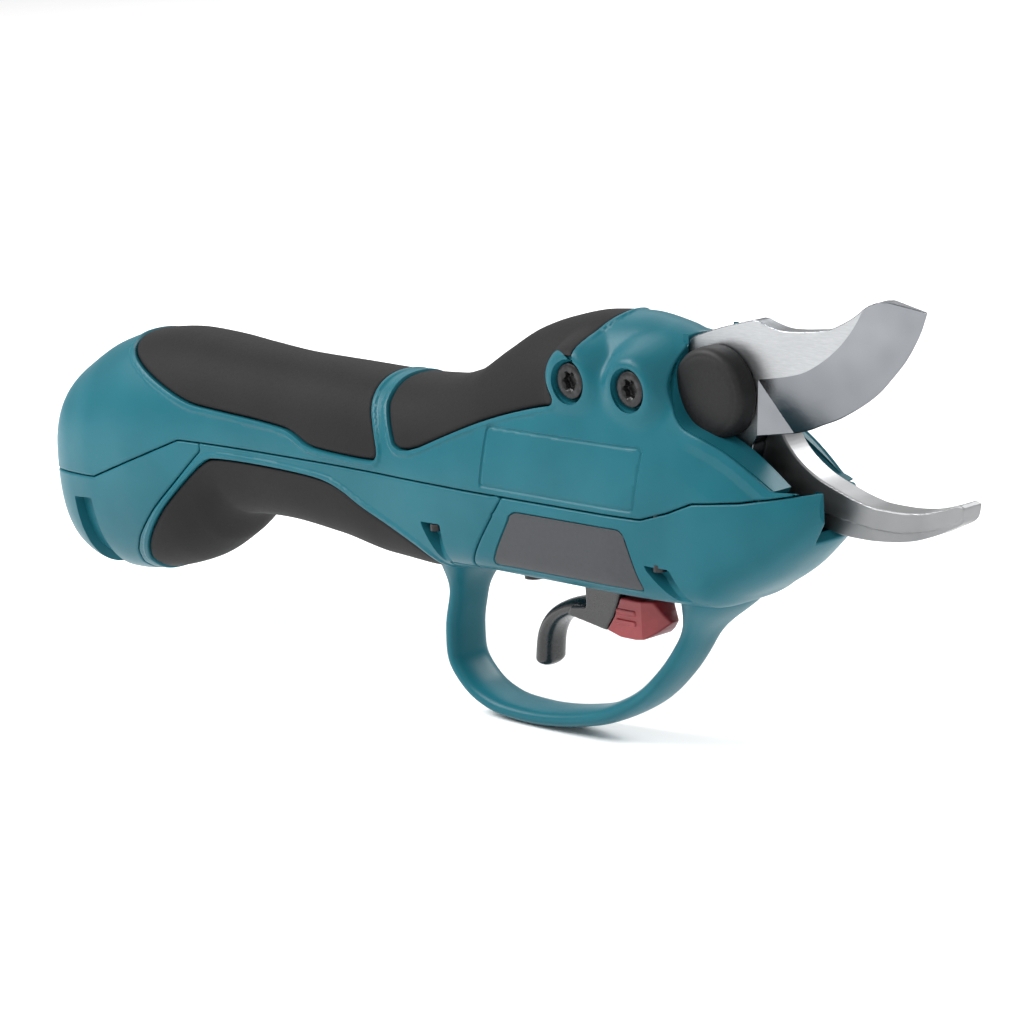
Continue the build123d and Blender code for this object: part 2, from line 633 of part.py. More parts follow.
bolt_end = frame_far + lock_ring_thickness + nut_height + 1.0
with BuildPart() as pivot_bolt:
    add(cross_pin(pivot_x, pivot_height, bolt_head_radius, washer_near - bolt_head, washer_near))
    add(cross_pin(pivot_x, pivot_height, bolt_radius, washer_near, bolt_end))
    with BuildSketch(Plane.XZ.offset(bolt_head - washer_near)):
        with Locations((pivot_x, pivot_height)):
            RegularPolygon(3.0, 6)
    extrude(amount=-2.2, mode=Mode.SUBTRACT)
save(pivot_bolt.part, "pivot_bolt")

lock_teeth = 30
lock_ring_radius = 9.6
with BuildPart() as lock_ring:
    with BuildSketch(Plane.XZ.offset(-frame_far)):
        with Locations((pivot_x, pivot_height)):
            Circle(lock_ring_radius)
            Circle(bolt_radius, mode=Mode.SUBTRACT)
            with PolarLocations(lock_ring_radius, lock_teeth):
                Rectangle(1.4, 0.9, mode=Mode.SUBTRACT)
    extrude(amount=-lock_ring_thickness)
save(lock_ring.part, "lock_ring")

with BuildPart() as pivot_nut:
    with BuildSketch(Plane.XZ.offset(-frame_far - lock_ring_thickness)):
        with Locations((pivot_x, pivot_height)):
            RegularPolygon(8.0, 6)
            Circle(bolt_radius, mode=Mode.SUBTRACT)
    extrude(amount=-nut_height)
save(pivot_nut.part, "pivot_nut")

cap_rim = blade_near - 0.4
cap_top = washer_near - bolt_head - 1.6
with BuildPart() as pivot_cap:
    with BuildSketch(Plane.XY.offset(pivot_height)):
        with BuildLine():
            Line((pivot_x, cap_top), (pivot_x, cap_top + 1.5))
            Line((pivot_x, cap_top + 1.5), (pivot_x + bolt_head_radius, cap_top + 1.5))
            Line((pivot_x + bolt_head_radius, cap_top + 1.5), (pivot_x + bolt_head_radius, cap_rim))
            Line((pivot_x + bolt_head_radius, cap_rim), (pivot_x + cap_radius, cap_rim))
            Line((pivot_x + cap_radius, cap_rim), (pivot_x + cap_radius, cap_top + 1.6))
            ThreePointArc((pivot_x + cap_radius, cap_top + 1.6),
                          (pivot_x + cap_radius - 0.7, cap_top + 0.7),
                          (pivot_x + cap_radius - 1.8, cap_top + 0.3))
            Line((pivot_x + cap_radius - 1.8, cap_top + 0.3), (pivot_x, cap_top))
        make_face()
    revolve(axis=Axis((pivot_x, 0, pivot_height), (0, 1, 0)))
save(pivot_cap.part, "pivot_cap")

# ---- motor and gear stage on the drive axis ----
with BuildPart() as motor_can:
    add(axle_tube(rear_length, gear_start, motor_radius, 5.5))
    add(axle_tube(rear_length + 2.0, gear_start - 2.0, motor_radius - 1.2), mode=Mode.SUBTRACT)
save(motor_can.part, "motor_can")

magnet_radius = 6.4
with BuildPart() as motor_stator:
    with BuildSketch(Plane.YZ.offset(rear_length + 6.0)):
        with Locations((0, drive_height)):
            Circle(motor_radius - 1.2)
            Circle(magnet_radius + 0.4, mode=Mode.SUBTRACT)
            with PolarLocations(magnet_radius + 1.4, 9):
                Rectangle(3.0, 1.6, mode=Mode.SUBTRACT)
    extrude(amount=motor_length - 12.0)
save(motor_stator.part, "motor_stator")

sun_bore = 1.3
with BuildPart() as motor_rotor:
    add(axle_tube(rear_length + 7.0, gear_start - 7.0, magnet_radius))
    add(axle_tube(rear_length + 0.3, gear_start, shaft_radius))
    add(axle_tube(gear_start, ring_start + gear_width, sun_bore))
save(motor_rotor.part, "motor_rotor")

with BuildPart() as motor_bearings:
    for x in (rear_length, gear_start - 2.0):
        add(axle_tube(x, x + 2.0, 5.5, shaft_radius + running_fit))
save(motor_bearings.part, "motor_bearings")

backlash = 0.8          # tooth thickness as a share of half the pitch
addendum = 1.0 * gear_module
dedendum = 1.3 * gear_module
gear_flank = ((-dedendum, 1.45), (addendum, 0.55), (addendum, -0.55), (-dedendum, -1.45))


def gear_ring(teeth, tooth_side, centre=(0.0, 0.0), first_tooth=0.0):
    """Y-Z points of straight-flanked teeth that point out (+1) or in (-1) of a pitch circle.

    The circle's centre is given from the drive axis.
    """
    pitch = gear_module * teeth / 2
    points = []
    for tooth in range(teeth):
        middle = first_tooth + 2 * pi * tooth / teeth
        for reach, thick in gear_flank:
            radius = pitch + tooth_side * reach
            half = thick * backlash * pi * gear_module / 4 / radius
            points.append((centre[0] + radius * cos(middle - half),
                           drive_height + centre[1] + radius * sin(middle - half)))
    return points


def spur_gear(teeth, bore, x_from, centre=(0.0, 0.0), first_tooth=0.0):
    """An external gear around an axis parallel to the drive axis."""
    with BuildPart() as gear:
        with BuildSketch(Plane.YZ.offset(x_from)):
            with BuildLine():
                Polyline(*gear_ring(teeth, 1, centre, first_tooth), close=True)
            make_face()
            with Locations((centre[0], drive_height + centre[1])):
                Circle(bore, mode=Mode.SUBTRACT)
        extrude(amount=gear_width)
    return gear.part


ring_teeth = sun_teeth + 2 * planet_teeth
planet_orbit = gear_module * (sun_teeth + planet_teeth) / 2
planet_pin_radius = 1.1
save(spur_gear(sun_teeth, sun_bore, ring_start), "sun_gear")

for number in range(3):
    turn = 2 * pi * number / 3
    centre = (planet_orbit * cos(turn), planet_orbit * sin(turn))
    planet = spur_gear(planet_teeth, planet_pin_radius + running_fit, ring_start, centre,
                       turn + pi / planet_teeth)
    save(planet, f"planet_gear_{number + 1}")

case_bore = motor_radius - 1.0
with BuildPart() as ring_gear:
    with BuildSketch(Plane.YZ.offset(ring_start)):
        with Locations((0, drive_height)):
            Circle(case_bore)
        with BuildLine():
            Polyline(*gear_ring(ring_teeth, -1), close=True)
        make_face(mode=Mode.SUBTRACT)
    extrude(amount=gear_width)
save(ring_gear.part, "ring_gear")

with BuildPart() as gear_case:
    add(axle_tube(gear_start, gear_case_end, motor_radius, 9.0))
    add(axle_tube(gear_start, bearing_start - 1.0, case_bore), mode=Mode.SUBTRACT)
save(gear_case.part, "gear_case")

with BuildPart() as planet_carrier:
    add(axle_tube(carrier_start - 0.5, carrier_start + 2.0, planet_orbit + 2.2))
    with BuildSketch(Plane.YZ.offset(ring_start)):
        with Locations((0, drive_height)):
            with PolarLocations(planet_orbit, 3):
                Circle(planet_pin_radius)
    extrude(amount=gear_width + 0.6)
save(planet_carrier.part, "planet_carrier")

with BuildPart() as screw_bearing:
    add(axle_tube(bearing_start, bearing_start + bearing_width, 9.0, screw_radius + running_fit))
save(screw_bearing.part, "screw_bearing")
save(axle_tube(carrier_start + 2.0, screw_end, screw_radius), "drive_screw")

# ---- nut and yoke that pull the blade's tail ----
yoke_inside = -blade_near + 0.25
yoke_outside = hook_far - 0.25
yoke_half = yoke_pin_radius + 2.5
with BuildPart() as drive_nut:
    add(axle_tube(nut_front - nut_length, nut_front, nut_radius, screw_radius + running_fit))
save(drive_nut.part, "drive_nut")

with BuildPart() as nut_yoke:
    with BuildSketch(Plane.YZ.offset(nut_front)):
        with Locations((0, drive_height)):
            Rectangle(2 * yoke_outside, 2 * yoke_half)
            Circle(screw_radius + running_fit, mode=Mode.SUBTRACT)
    extrude(amount=3.5)
    for side in (-1, 1):
        with BuildSketch(Plane.XZ.offset(-side * yoke_inside)):
            with Locations(((nut_front + yoke_pin_x) / 2, drive_height)):
                Rectangle(yoke_pin_x - nut_front, 2 * yoke_half)
            with Locations((yoke_pin_x, drive_height)):
                Circle(yoke_half)
        extrude(amount=-side * (yoke_outside - yoke_inside))
    add(cross_pin(yoke_pin_x, drive_height, yoke_pin_radius, -20, 20), mode=Mode.SUBTRACT)
save(nut_yoke.part, "nut_yoke")
save(cross_pin(yoke_pin_x, drive_height, yoke_pin_radius, -yoke_outside, yoke_outside), "yoke_pin")

# ---- trigger, its lock lever, pins, spring and sensor ----
block_half = 4.6


def from_trigger(points):
    """Points given from the trigger's pivot, as X-Z points of the tool."""
    return [(trigger_x + x, trigger_z + z) for x, z in points]


finger_line = from_trigger([(-3.0, -12.9), (-10.0, -13.0), (-15.5, -14.6), (-20.0, -17.6),
                            (-22.7, -22.0), (-23.6, -27.5)])
block_outline = from_trigger([(-6.0, 2.2), (9.2, 2.2), (9.2, -6.6), (5.4, -7.6), (4.6, -10.0),
                              (3.0, -13.2), (0.3, -16.9), (-6.0, -15.6)])
lock_outline = from_trigger([(5.9, -8.2), (3.6, -12.9), (0.9, -16.6), (5.2, -17.7), (10.1, -17.7),
                             (12.7, -17.3), (15.7, -15.5), (18.7, -13.1), (16.9, -11.0),
                             (14.9, -8.2)])
tongue_half = 1.8
lock_half = 5.2
lock_pin_radius = 1.2
with BuildPart() as trigger:
    with BuildLine(Plane.XZ) as finger:
        Spline(*finger_line)
    with BuildSketch(Plane(origin=finger.line @ 0, x_dir=(0, 1, 0), z_dir=finger.line % 0)):
        Ellipse(trigger_half_width, trigger_half_thickness)
    sweep()
    add(side_prism(block_outline, -block_half, block_half))
    with BuildSketch(Plane.XY.offset(trigger_z - 8.4)):
        with Locations((trigger_x + 8.0, 0)):
            Rectangle(9.0, 2 * tongue_half + 0.6)
    extrude(amount=12.0, mode=Mode.SUBTRACT)
    add(cross_pin(trigger_x, trigger_z, 1.5 + running_fit, -20, 20), mode=Mode.SUBTRACT)
    add(cross_pin(lock_x, lock_z, lock_pin_radius, -20, 20), mode=Mode.SUBTRACT)
save(trigger.part, "trigger")

with BuildPart() as lock_lever:
    add(side_prism(lock_outline, -lock_half, lock_half))
    with BuildSketch(Plane.XY.offset(-40.0)):
        with BuildLine():
            Polyline((trigger_x, -lock_half), (trigger_x + 12.5, -lock_half),
                     (trigger_x + 18.7, -1.2), (trigger_x + 18.7, 1.2),
                     (trigger_x + 12.5, lock_half), (trigger_x, lock_half), close=True)
        make_face()
    extrude(amount=40.0, mode=Mode.INTERSECT)
    add(side_prism(from_trigger([(5.8, -4.0), (9.4, -4.0), (9.4, -10.0), (6.2, -10.0)]),
                   -tongue_half, tongue_half))
    add(cross_pin(lock_x, lock_z, 2.4, -tongue_half, tongue_half))
    add(cross_pin(lock_x, lock_z, lock_pin_radius + running_fit, -20, 20), mode=Mode.SUBTRACT)
save(lock_lever.part, "lock_lever")
save(cross_pin(lock_x, lock_z, lock_pin_radius, -block_half, block_half), "lock_pin")

ear_outside = slot_half_width + 3.1
save(cross_pin(trigger_x, trigger_z, 1.5, -ear_outside, ear_outside), "trigger_pin")

spring_wire = 0.3
with BuildPart() as trigger_spring:
    with BuildLine() as coil:
        Helix(pitch=0.65, height=0.85, radius=1.5 + spring_wire + 0.1, direction=(0, 1, 0),
              center=(trigger_x, block_half + spring_wire + 0.1, trigger_z))
    with BuildSketch(Plane(origin=coil.line @ 0, z_dir=coil.line % 0)):
        Circle(spring_wire)
    sweep(is_frenet=True)
save(trigger_spring.part, "trigger_spring")

ear_top = trigger_z + 4.0
with BuildPart() as trigger_sensor:
    with BuildSketch(Plane.XY.offset(ear_top)):
        with Locations((trigger_x, 0)):
            Rectangle(12.0, 2 * ear_outside)
    extrude(amount=1.2)
    with BuildSketch(Plane.XY.offset(ear_top + 1.2)):
        with Locations((trigger_x - 3.0, 0)):
            Rectangle(3.0, 4.0)
    extrude(amount=1.0)
save(trigger_sensor.part, "trigger_sensor")

# ---- control board, its parts and the leads to the motor ----
board_start, board_end = socket_length + 6.0, rear_length - 10.0
board_half = grip_half_width - shell
board_height = 3.0
with BuildPart() as control_board:
    with BuildSketch(Plane.XY.offset(board_height)):
        with Locations(((board_start + board_end) / 2, 0)):
            Rectangle(board_end - board_start, 2 * board_half)
    extrude(amount=1.6)
save(control_board.part, "control_board")

with BuildPart() as board_parts:
    with BuildSketch(Plane.XY.offset(board_height + 1.6)):
        with Locations((board_start + 7.0, -6.0), (board_start + 7.0, 6.0)):
            Circle(4.0)
    extrude(amount=12.0)
    with BuildSketch(Plane.XY.offset(board_height + 1.6)):
        with Locations((board_end - 14.0, 0)):
            with GridLocations(8.0, 8.0, 2, 3):
                Rectangle(5.0, 6.0)
    extrude(amount=2.2)
save(board_parts.part, "board_parts")

with BuildPart() as motor_leads:
    for y in (-4.0, 0.0, 4.0):
        with BuildLine() as lead:
            Spline((board_end - 2.0, y, board_height + 2.5), (rear_length - 5.0, y, 6.0),
                   (rear_length - 0.2, y, 9.0), tangents=((1, 0, 0), (1, 0, 0)))
        with BuildSketch(Plane(origin=lead.line @ 0, z_dir=lead.line % 0)):
            Circle(0.8)
        sweep()
save(motor_leads.part, "motor_leads")

# ---- fasteners ----
with BuildPart() as side_screws:
    for x in side_boss_x:
        for side in (-1, 1):
            seat = side * (boss_reach - 3.0)
            inner = -hook_far if side < 0 else hook_near + 0.2
            if side > 0 and x != side_boss_x[0]:
                inner = hook_far
            add(cross_pin(x, side_boss_z, 2.0, seat, inner))
            add(cross_pin(x, side_boss_z, screw_head_radius, seat, seat + side * 2.2))
            with BuildSketch(Plane.XZ.offset(-seat - side * 2.2)):
                with Locations((x, side_boss_z)):
                    RegularPolygon(2.2, 6)
            extrude(amount=side * 1.4, mode=Mode.SUBTRACT)
save(side_screws.part, "side_screws")

with BuildPart() as cover_screws:
    for x in scoop_x:
        for y in (-cover_screw_y, cover_screw_y):
            add(upright_pin(x + 3.8, y, 1.0, scoop_ledge, cover_screw_top))
            add(upright_pin(x + 3.8, y, 1.6, scoop_ledge - 1.6, scoop_ledge))
save(cover_screws.part, "cover_screws")

with BuildPart() as guard_screws:
    for y in (-guard_screw_y, guard_screw_y):
        add(upright_pin(guard_screw_x, y, 1.2, guard_screw_floor, belly + shell + 1.0))
        add(upright_pin(guard_screw_x, y, 2.6, guard_screw_floor - 1.6, guard_screw_floor))
save(guard_screws.part, "guard_screws")
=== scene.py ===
import json
import bpy
import numpy as np
from mathutils import Matrix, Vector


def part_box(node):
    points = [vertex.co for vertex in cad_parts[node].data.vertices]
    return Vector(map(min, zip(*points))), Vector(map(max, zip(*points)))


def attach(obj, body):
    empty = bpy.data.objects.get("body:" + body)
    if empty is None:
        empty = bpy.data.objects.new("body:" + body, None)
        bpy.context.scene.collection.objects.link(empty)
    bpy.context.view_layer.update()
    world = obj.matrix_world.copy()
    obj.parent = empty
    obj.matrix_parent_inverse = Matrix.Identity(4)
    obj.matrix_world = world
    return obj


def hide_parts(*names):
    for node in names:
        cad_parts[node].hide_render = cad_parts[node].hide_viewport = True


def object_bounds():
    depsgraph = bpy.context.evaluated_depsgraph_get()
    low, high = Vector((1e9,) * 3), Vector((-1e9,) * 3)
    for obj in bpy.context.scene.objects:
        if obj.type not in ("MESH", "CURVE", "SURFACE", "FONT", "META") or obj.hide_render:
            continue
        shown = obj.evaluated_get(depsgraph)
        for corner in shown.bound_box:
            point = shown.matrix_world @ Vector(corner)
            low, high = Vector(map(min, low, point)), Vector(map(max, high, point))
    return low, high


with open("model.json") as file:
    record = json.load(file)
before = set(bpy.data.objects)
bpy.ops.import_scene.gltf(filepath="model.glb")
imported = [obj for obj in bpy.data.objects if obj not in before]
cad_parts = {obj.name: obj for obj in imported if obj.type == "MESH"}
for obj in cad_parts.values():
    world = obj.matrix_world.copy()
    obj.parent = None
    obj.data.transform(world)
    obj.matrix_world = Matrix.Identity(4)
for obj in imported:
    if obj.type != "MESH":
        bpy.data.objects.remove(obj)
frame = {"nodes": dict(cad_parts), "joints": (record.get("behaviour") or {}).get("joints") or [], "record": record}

cad_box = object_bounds()

# ---- studio ----
# A pale sheet of paper under the tool. A large soft light above its rear lights the label side,
# with a weak fill and a rim light, and two lamps over the paper keep it white far out.
floor_height = cad_box[0][2]
camera_right = np.array([0.685, 0.726, -0.060])
camera_back = np.array([0.718, -0.660, 0.221])
look_at = np.array([0.162, 0.0, 0.004])
camera_distance = 0.92
lens_over_width = 3900 / 1024

camera_back /= np.linalg.norm(camera_back)
camera_right -= camera_back * (camera_right @ camera_back)
camera_right /= np.linalg.norm(camera_right)
camera_up = np.cross(camera_back, camera_right)


def place(obj, right, up, back, at):
    """Turn obj so that its own axes lie along right, up and back, and put it at a point."""
    turned = np.eye(4)
    turned[:3, 0], turned[:3, 1], turned[:3, 2], turned[:3, 3] = right, up, back, at
    obj.matrix_world = Matrix(turned.tolist())


camera_data = bpy.data.cameras.new("camera")
camera = bpy.data.objects.new("camera", camera_data)
bpy.context.scene.collection.objects.link(camera)
camera_data.sensor_width = 36.0
camera_data.lens = 36.0 * lens_over_width
camera_data.clip_start = 0.01
place(camera, camera_right, camera_up, camera_back, look_at + camera_back * camera_distance)
bpy.context.scene.camera = camera


def soft_light(name, at, size, watts, target=look_at):
    """A square area light at a point, facing a target, which is the tool unless it is stated."""
    light = bpy.data.lights.new(name, "AREA")
    light.shape = "SQUARE"
    light.size = size
    light.energy = watts
    lamp = bpy.data.objects.new(name, light)
    bpy.context.scene.collection.objects.link(lamp)
    back = np.array(at) - target
    back /= np.linalg.norm(back)
    right = np.cross([0.0, 1.0, 0.0], back)
    right /= np.linalg.norm(right)
    place(lamp, right, np.cross(back, right), back, at)


soft_light("key", (-0.60, -0.75, 0.95), 0.8, 27.0)
soft_light("fill", (1.2, -0.8, 0.35), 0.7, 1.0)
soft_light("rim", (0.25, 0.95, 0.75), 0.6, 11.0)
for name, x, y, watts in (("paper behind", -0.85, 0.95, 12.0),
                          ("paper in front", 1.15, -0.85, 6.0)):
    soft_light(name, (x, y, 1.2), 1.6, watts, np.array([x, y, 0.0]))

room_light = 0.50
world = bpy.data.worlds.new("studio")
world.use_nodes = True
background = world.node_tree.nodes["Background"]
background.inputs["Color"].default_value = (1.0, 1.0, 1.0, 1.0)
background.inputs["Strength"].default_value = room_light
bpy.context.scene.world = world
bpy.context.scene.view_settings.view_transform = "Standard"

floor_half = 6.0
floor_corners = [(-1, -1), (1, -1), (1, 1), (-1, 1)]
floor_mesh = bpy.data.meshes.new("floor")
floor_mesh.from_pydata([(floor_half * x, floor_half * y, floor_height) for x, y in floor_corners],
                       [], [(0, 1, 2, 3)])
floor = bpy.data.objects.new("floor", floor_mesh)
bpy.context.scene.collection.objects.link(floor)


class Wire:
    """One output of a material's nodes. Arithmetic on it adds Math nodes to that material."""

    def __init__(self, tree, socket=None):
        self.tree, self.socket = tree, socket

    def node(self, kind, settings=None, inputs=None, output=0):
        """A node: its settings are set first, then its sockets, to values or links."""
        made = self.tree.nodes.new("ShaderNode" + kind)
        for key, value in (settings or {}).items():
            setattr(made, key, value)
        for key, value in (inputs or {}).items():
            if isinstance(value, Wire):
                self.tree.links.new(value.socket, made.inputs[key])
            else:
                made.inputs[key].default_value = value
        return Wire(self.tree, made.outputs[output])

    def math(self, operation, *values):
        """A Math node on these values."""
        return self.node("Math", {"operation": operation}, dict(enumerate(values)))

    def __add__(self, other):
        return self.math("ADD", self, other)

    def __mul__(self, other):
        return self.math("MULTIPLY", self, other)

    __radd__, __rmul__ = __add__, __mul__

    def between(self, low_value, high_value):
        """This value clamped and stretched so that low_value gives 0 and high_value gives 1."""
        return self.node("MapRange", {"clamp": True},
                         {"Value": self, "From Min": low_value, "From Max": high_value})

    def blend(self, colour_0, colour_1):
        """A colour: colour_0 where this is 0, colour_1 where it is 1."""
        ends = [c if isinstance(c, Wire) else (*c, 1.0) for c in (colour_0, colour_1)]
        return self.node("Mix", {"data_type": "RGBA"}, {0: self, 6: ends[0], 7: ends[1]}, output=2)

    def noise(self, scale, detail=3.0, roughness=0.55, stretch=(1.0, 1.0, 1.0)):
        """Noise with so many features per metre, on the piece's own coordinates."""
        place_on = self.node("TexCoord", output=3)
        stretched = self.node("Mapping", None, {"Vector": place_on, "Scale": stretch})
        return self.node("TexNoise", None, {"Vector": stretched, "Scale": scale, "Detail": detail,
                                            "Roughness": roughness})


def material(name, colour, rough, **fixed):
    """A new material, its first wire and its shader; fixed names sockets that never vary."""
    made = bpy.data.materials.new(name)
    made.use_nodes = True
    shader = made.node_tree.nodes["Principled BSDF"]
    shader.inputs["Base Color"].default_value = (*colour, 1.0)
    shader.inputs["Roughness"].default_value = rough
    for key, value in fixed.items():
        shader.inputs[key.replace("_", " ")].default_value = value
    return made, Wire(made.node_tree), shader


def feed(wire, shader, **varying):
    """Link wires to the shader's sockets by name."""
    for key, value in varying.items():
        wire.tree.links.new(value.socket, shader.inputs[key.replace("_", " ")])


def raised(wire, height, depth):
    """A bump normal from a height in 0 to 1, so many metres deep."""
    return wire.node("Bump", None, {"Height": height, "Strength": 1.0, "Distance": depth})


paper, wire, shader = material("paper", (0.96, 0.96, 0.96), 0.9)
feed(wire, shader, Base_Color=wire.noise(6.0).between(0.3, 0.7).blend((0.955, 0.955, 0.955),
                                                                      (0.965, 0.965, 0.965)))
floor.data.materials.append(paper)

# ---- moulded body: form and panel cutting ----
# The tool's body is one flowing form, moulded in nylon as a few shells, with rubber grips on them
# and narrow joints between them. Every shell is a patch of that form with a wall and eased edges.
mm = 0.001
pivot = next(j for j in frame["joints"] if j["name"] == "blade_pivot")["pos_m"]
pivot_x, pivot_z = pivot[0] / mm, pivot[2] / mm
nose_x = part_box("guard_housing")[1][0] / mm
rear_face = 3.0
grip_end = pivot_x - 107.0

# x, top, bottom, half width, height of the widest line, roundness of the top and bottom halves
STATIONS = np.array([
    (rear_face, 17.0, -20.0, 13.0, 2.0, 2.6, 2.6),
    (4.5, 21.0, -23.0, 15.5, 2.0, 2.5, 2.5),
    (8.0, 25.0, -25.5, 17.5, 3.0, 2.4, 2.5),
    (14.0, 29.0, -27.2, 19.0, 4.0, 2.3, 2.4),
    (24.0, 34.0, -27.4, 20.0, 6.0, 2.3, 2.3),
    (36.0, 37.2, -25.6, 20.0, 8.0, 2.3, 2.3),
    (48.0, 38.2, -22.2, 19.3, 9.0, 2.3, 2.3),
    (60.0, 37.8, -15.6, 18.0, 11.0, 2.3, 2.3),
    (72.0, 36.8, -6.8, 17.0, 12.0, 2.3, 2.4),
    (90.0, 35.6, -5.8, 16.5, 12.0, 2.3, 2.6),
    (110.3, 35.3, -7.2, 16.5, 12.0, 2.3, 2.7),
    (grip_end, 35.0, -9.4, 17.0, 11.0, 2.3, 3.0),
    (pivot_x - 92.0, 35.6, -9.5, 18.0, 10.0, 2.3, 3.4),
    (pivot_x - 79.0, 38.7, -8.0, 18.6, 9.0, 2.3, 4.0),
    (pivot_x - 67.0, 45.5, -7.0, 19.0, 9.0, 2.2, 4.5),
    (pivot_x - 59.0, 50.0, -7.0, 19.0, 9.0, 2.1, 4.5),
    (pivot_x - 49.0, 53.4, -7.0, 19.0, 9.0, 2.1, 4.5),
    (pivot_x - 37.0, 55.9, -7.0, 19.0, 9.0, 2.1, 4.5),
    (pivot_x - 26.0, 56.5, -7.0, 19.0, 9.0, 2.1, 4.5),
    (pivot_x - 16.0, 55.2, -7.0, 18.5, 9.0, 2.1, 4.5),
    (pivot_x - 8.0, 52.5, -7.0, 18.0, 9.0, 2.1, 4.2),
    (pivot_x + 1.0, 48.0, -6.8, 17.3, 9.0, 2.2, 3.8),
    (pivot_x + 8.0, 42.0, -3.5, 16.0, 10.0, 2.3, 3.2),
    (pivot_x + 15.0, 36.0, 0.5, 14.3, 11.0, 2.4, 2.8),
    (pivot_x + 21.0, 31.0, 5.0, 12.2, 13.0, 2.4, 2.5),
    (nose_x - 3.5, 27.5, 9.5, 9.6, 15.0, 2.4, 2.4),
    (nose_x, 24.0, 14.5, 6.5, 18.0, 2.4, 2.4),
])


def smooth_through(at, values, x):
    """Cubics through (at, values) that never overshoot: harmonic mean slopes, Hermite form."""
    length = np.diff(at)[:, None]
    rise = np.diff(values, axis=0) / length
    same = rise[:-1] * rise[1:] > 0
    total = np.where(same, rise[:-1] + rise[1:], 1.0)
    middle = np.where(same, 2 * rise[:-1] * rise[1:] / total, 0.0)
    slope = np.vstack([rise[:1], middle, rise[-1:]])
    k = np.clip(np.searchsorted(at, x) - 1, 0, len(at) - 2)
    t = ((x - at[k]) / np.diff(at)[k])[..., None]
    h = length[k]
    return (values[k] * (1 + 2 * t) * (1 - t) ** 2 + slope[k] * h * t * (1 - t) ** 2
            + values[k + 1] * t ** 2 * (3 - 2 * t) + slope[k + 1] * h * t ** 2 * (t - 1))


def section(x, angle, shrink=1.0):
    """Superellipse of the body at x: y = w cos^(2/p), z = m + h sin^(2/p), signs kept."""
    row = smooth_through(STATIONS[:, 0], STATIONS[:, 1:], np.clip(x, rear_face, nose_x))
    top, bottom, half, middle, top_power, bottom_power = np.moveaxis(row, -1, 0)
    c, s = np.cos(angle), np.sin(angle)
    power = np.where(s >= 0, top_power, bottom_power)
    height = np.where(s >= 0, top - middle, middle - bottom)
    y = half * np.sign(c) * np.abs(c) ** (2 / power)
    z = middle + height * np.sign(s) * np.abs(s) ** (2 / power)
    return np.stack([np.clip(x, rear_face, nose_x) + 0 * y, y * shrink,
                     z * shrink + (1 - shrink) * middle], -1)


def grid_triangles(rows, columns):
    """Two triangles for each cell of a grid of corners with so many rows and columns."""
    i = (np.arange(rows - 1)[:, None] * columns + np.arange(columns - 1)[None]).ravel()
    return np.vstack([np.stack([i, i + columns, i + columns + 1], 1),
                      np.stack([i, i + columns + 1, i + 1], 1)])


columns, rows = 184, 300
cap_run = 8.0                     # the ends close by shrinking their last section over this run
cap_rows = 13
long_way = np.concatenate([np.linspace(rear_face - cap_run, rear_face, cap_rows)[:-1],
                           np.linspace(rear_face, nose_x, rows),
                           np.linspace(nose_x, nose_x + cap_run, cap_rows)[1:]])
fine_angle = np.linspace(-np.pi / 2, 1.5 * np.pi, 1441)
around = np.linspace(0, 1, columns + 1)
outline_points = section(long_way[:, None], fine_angle[None])
run = np.linalg.norm(np.diff(outline_points, axis=1), axis=2)
run = np.hstack([np.zeros((len(long_way), 1)), np.cumsum(run, axis=1)])
run /= run[:, -1:]
angle_table = np.array([np.interp(around, r, fine_angle) for r in run])


def body_point(u, v):
    """The body at u along (past either end it shrinks to a cap) and v round by arc length."""
    i = np.clip(np.interp(u, long_way, np.arange(len(long_way))), 0, len(long_way) - 1.000001)
    j = np.clip(v * columns, 0, columns - 1e-6)
    i0, j0 = i.astype(int), j.astype(int)
    fi, fj = i - i0, j - j0
    angle = ((angle_table[i0, j0] * (1 - fj) + angle_table[i0, j0 + 1] * fj) * (1 - fi)
             + (angle_table[i0 + 1, j0] * (1 - fj) + angle_table[i0 + 1, j0 + 1] * fj) * fi)
    past = np.maximum(rear_face - u, u - nose_x)
    shrink = np.where(past > 0, 1 - 0.97 * np.clip(past / cap_run, 0, 1), 1.0)
    return section(u, angle, shrink)


def body_normal(u, v):
    """Outward normal from differences along and around; on the end caps it is along X."""
    along = body_point(u + 0.05, v) - body_point(u - 0.05, v)
    round_ = body_point(u, np.clip(v + 2e-4, 0, 1)) - body_point(u, np.clip(v - 2e-4, 0, 1))
    n = np.cross(round_, along)
    n /= np.maximum(np.linalg.norm(n, axis=-1, keepdims=True), 1e-9)
    return n


grid_u, grid_v = np.meshgrid(long_way, around, indexing="ij")
grid_u, grid_v = grid_u.ravel(), grid_v.ravel()
grid_xyz = body_point(grid_u, grid_v)
grid_faces = grid_triangles(len(long_way), columns + 1)[:, ::-1]


def inside(outline, x, z):
    """Distance in the X-Z plane to an outline's nearest side, positive inside it."""
    a = np.asarray(outline, float)
    side = np.roll(a, -1, axis=0) - a
    nearest = np.full(x.shape, 1e9)
    crossings = np.zeros(x.shape, int)
    for (ax, az), (sx, sz) in zip(a, side):
        t = np.clip(((x - ax) * sx + (z - az) * sz) / max(sx * sx + sz * sz, 1e-12), 0, 1)
        nearest = np.minimum(nearest, (x - ax - t * sx) ** 2 + (z - az - t * sz) ** 2)
        spans = (az > z) != (az + sz > z)
        crossings += spans & (x < ax + (z - az) * sx / (sz if sz else 1e-9))
    return np.sqrt(nearest) * np.where(crossings % 2, 1, -1)


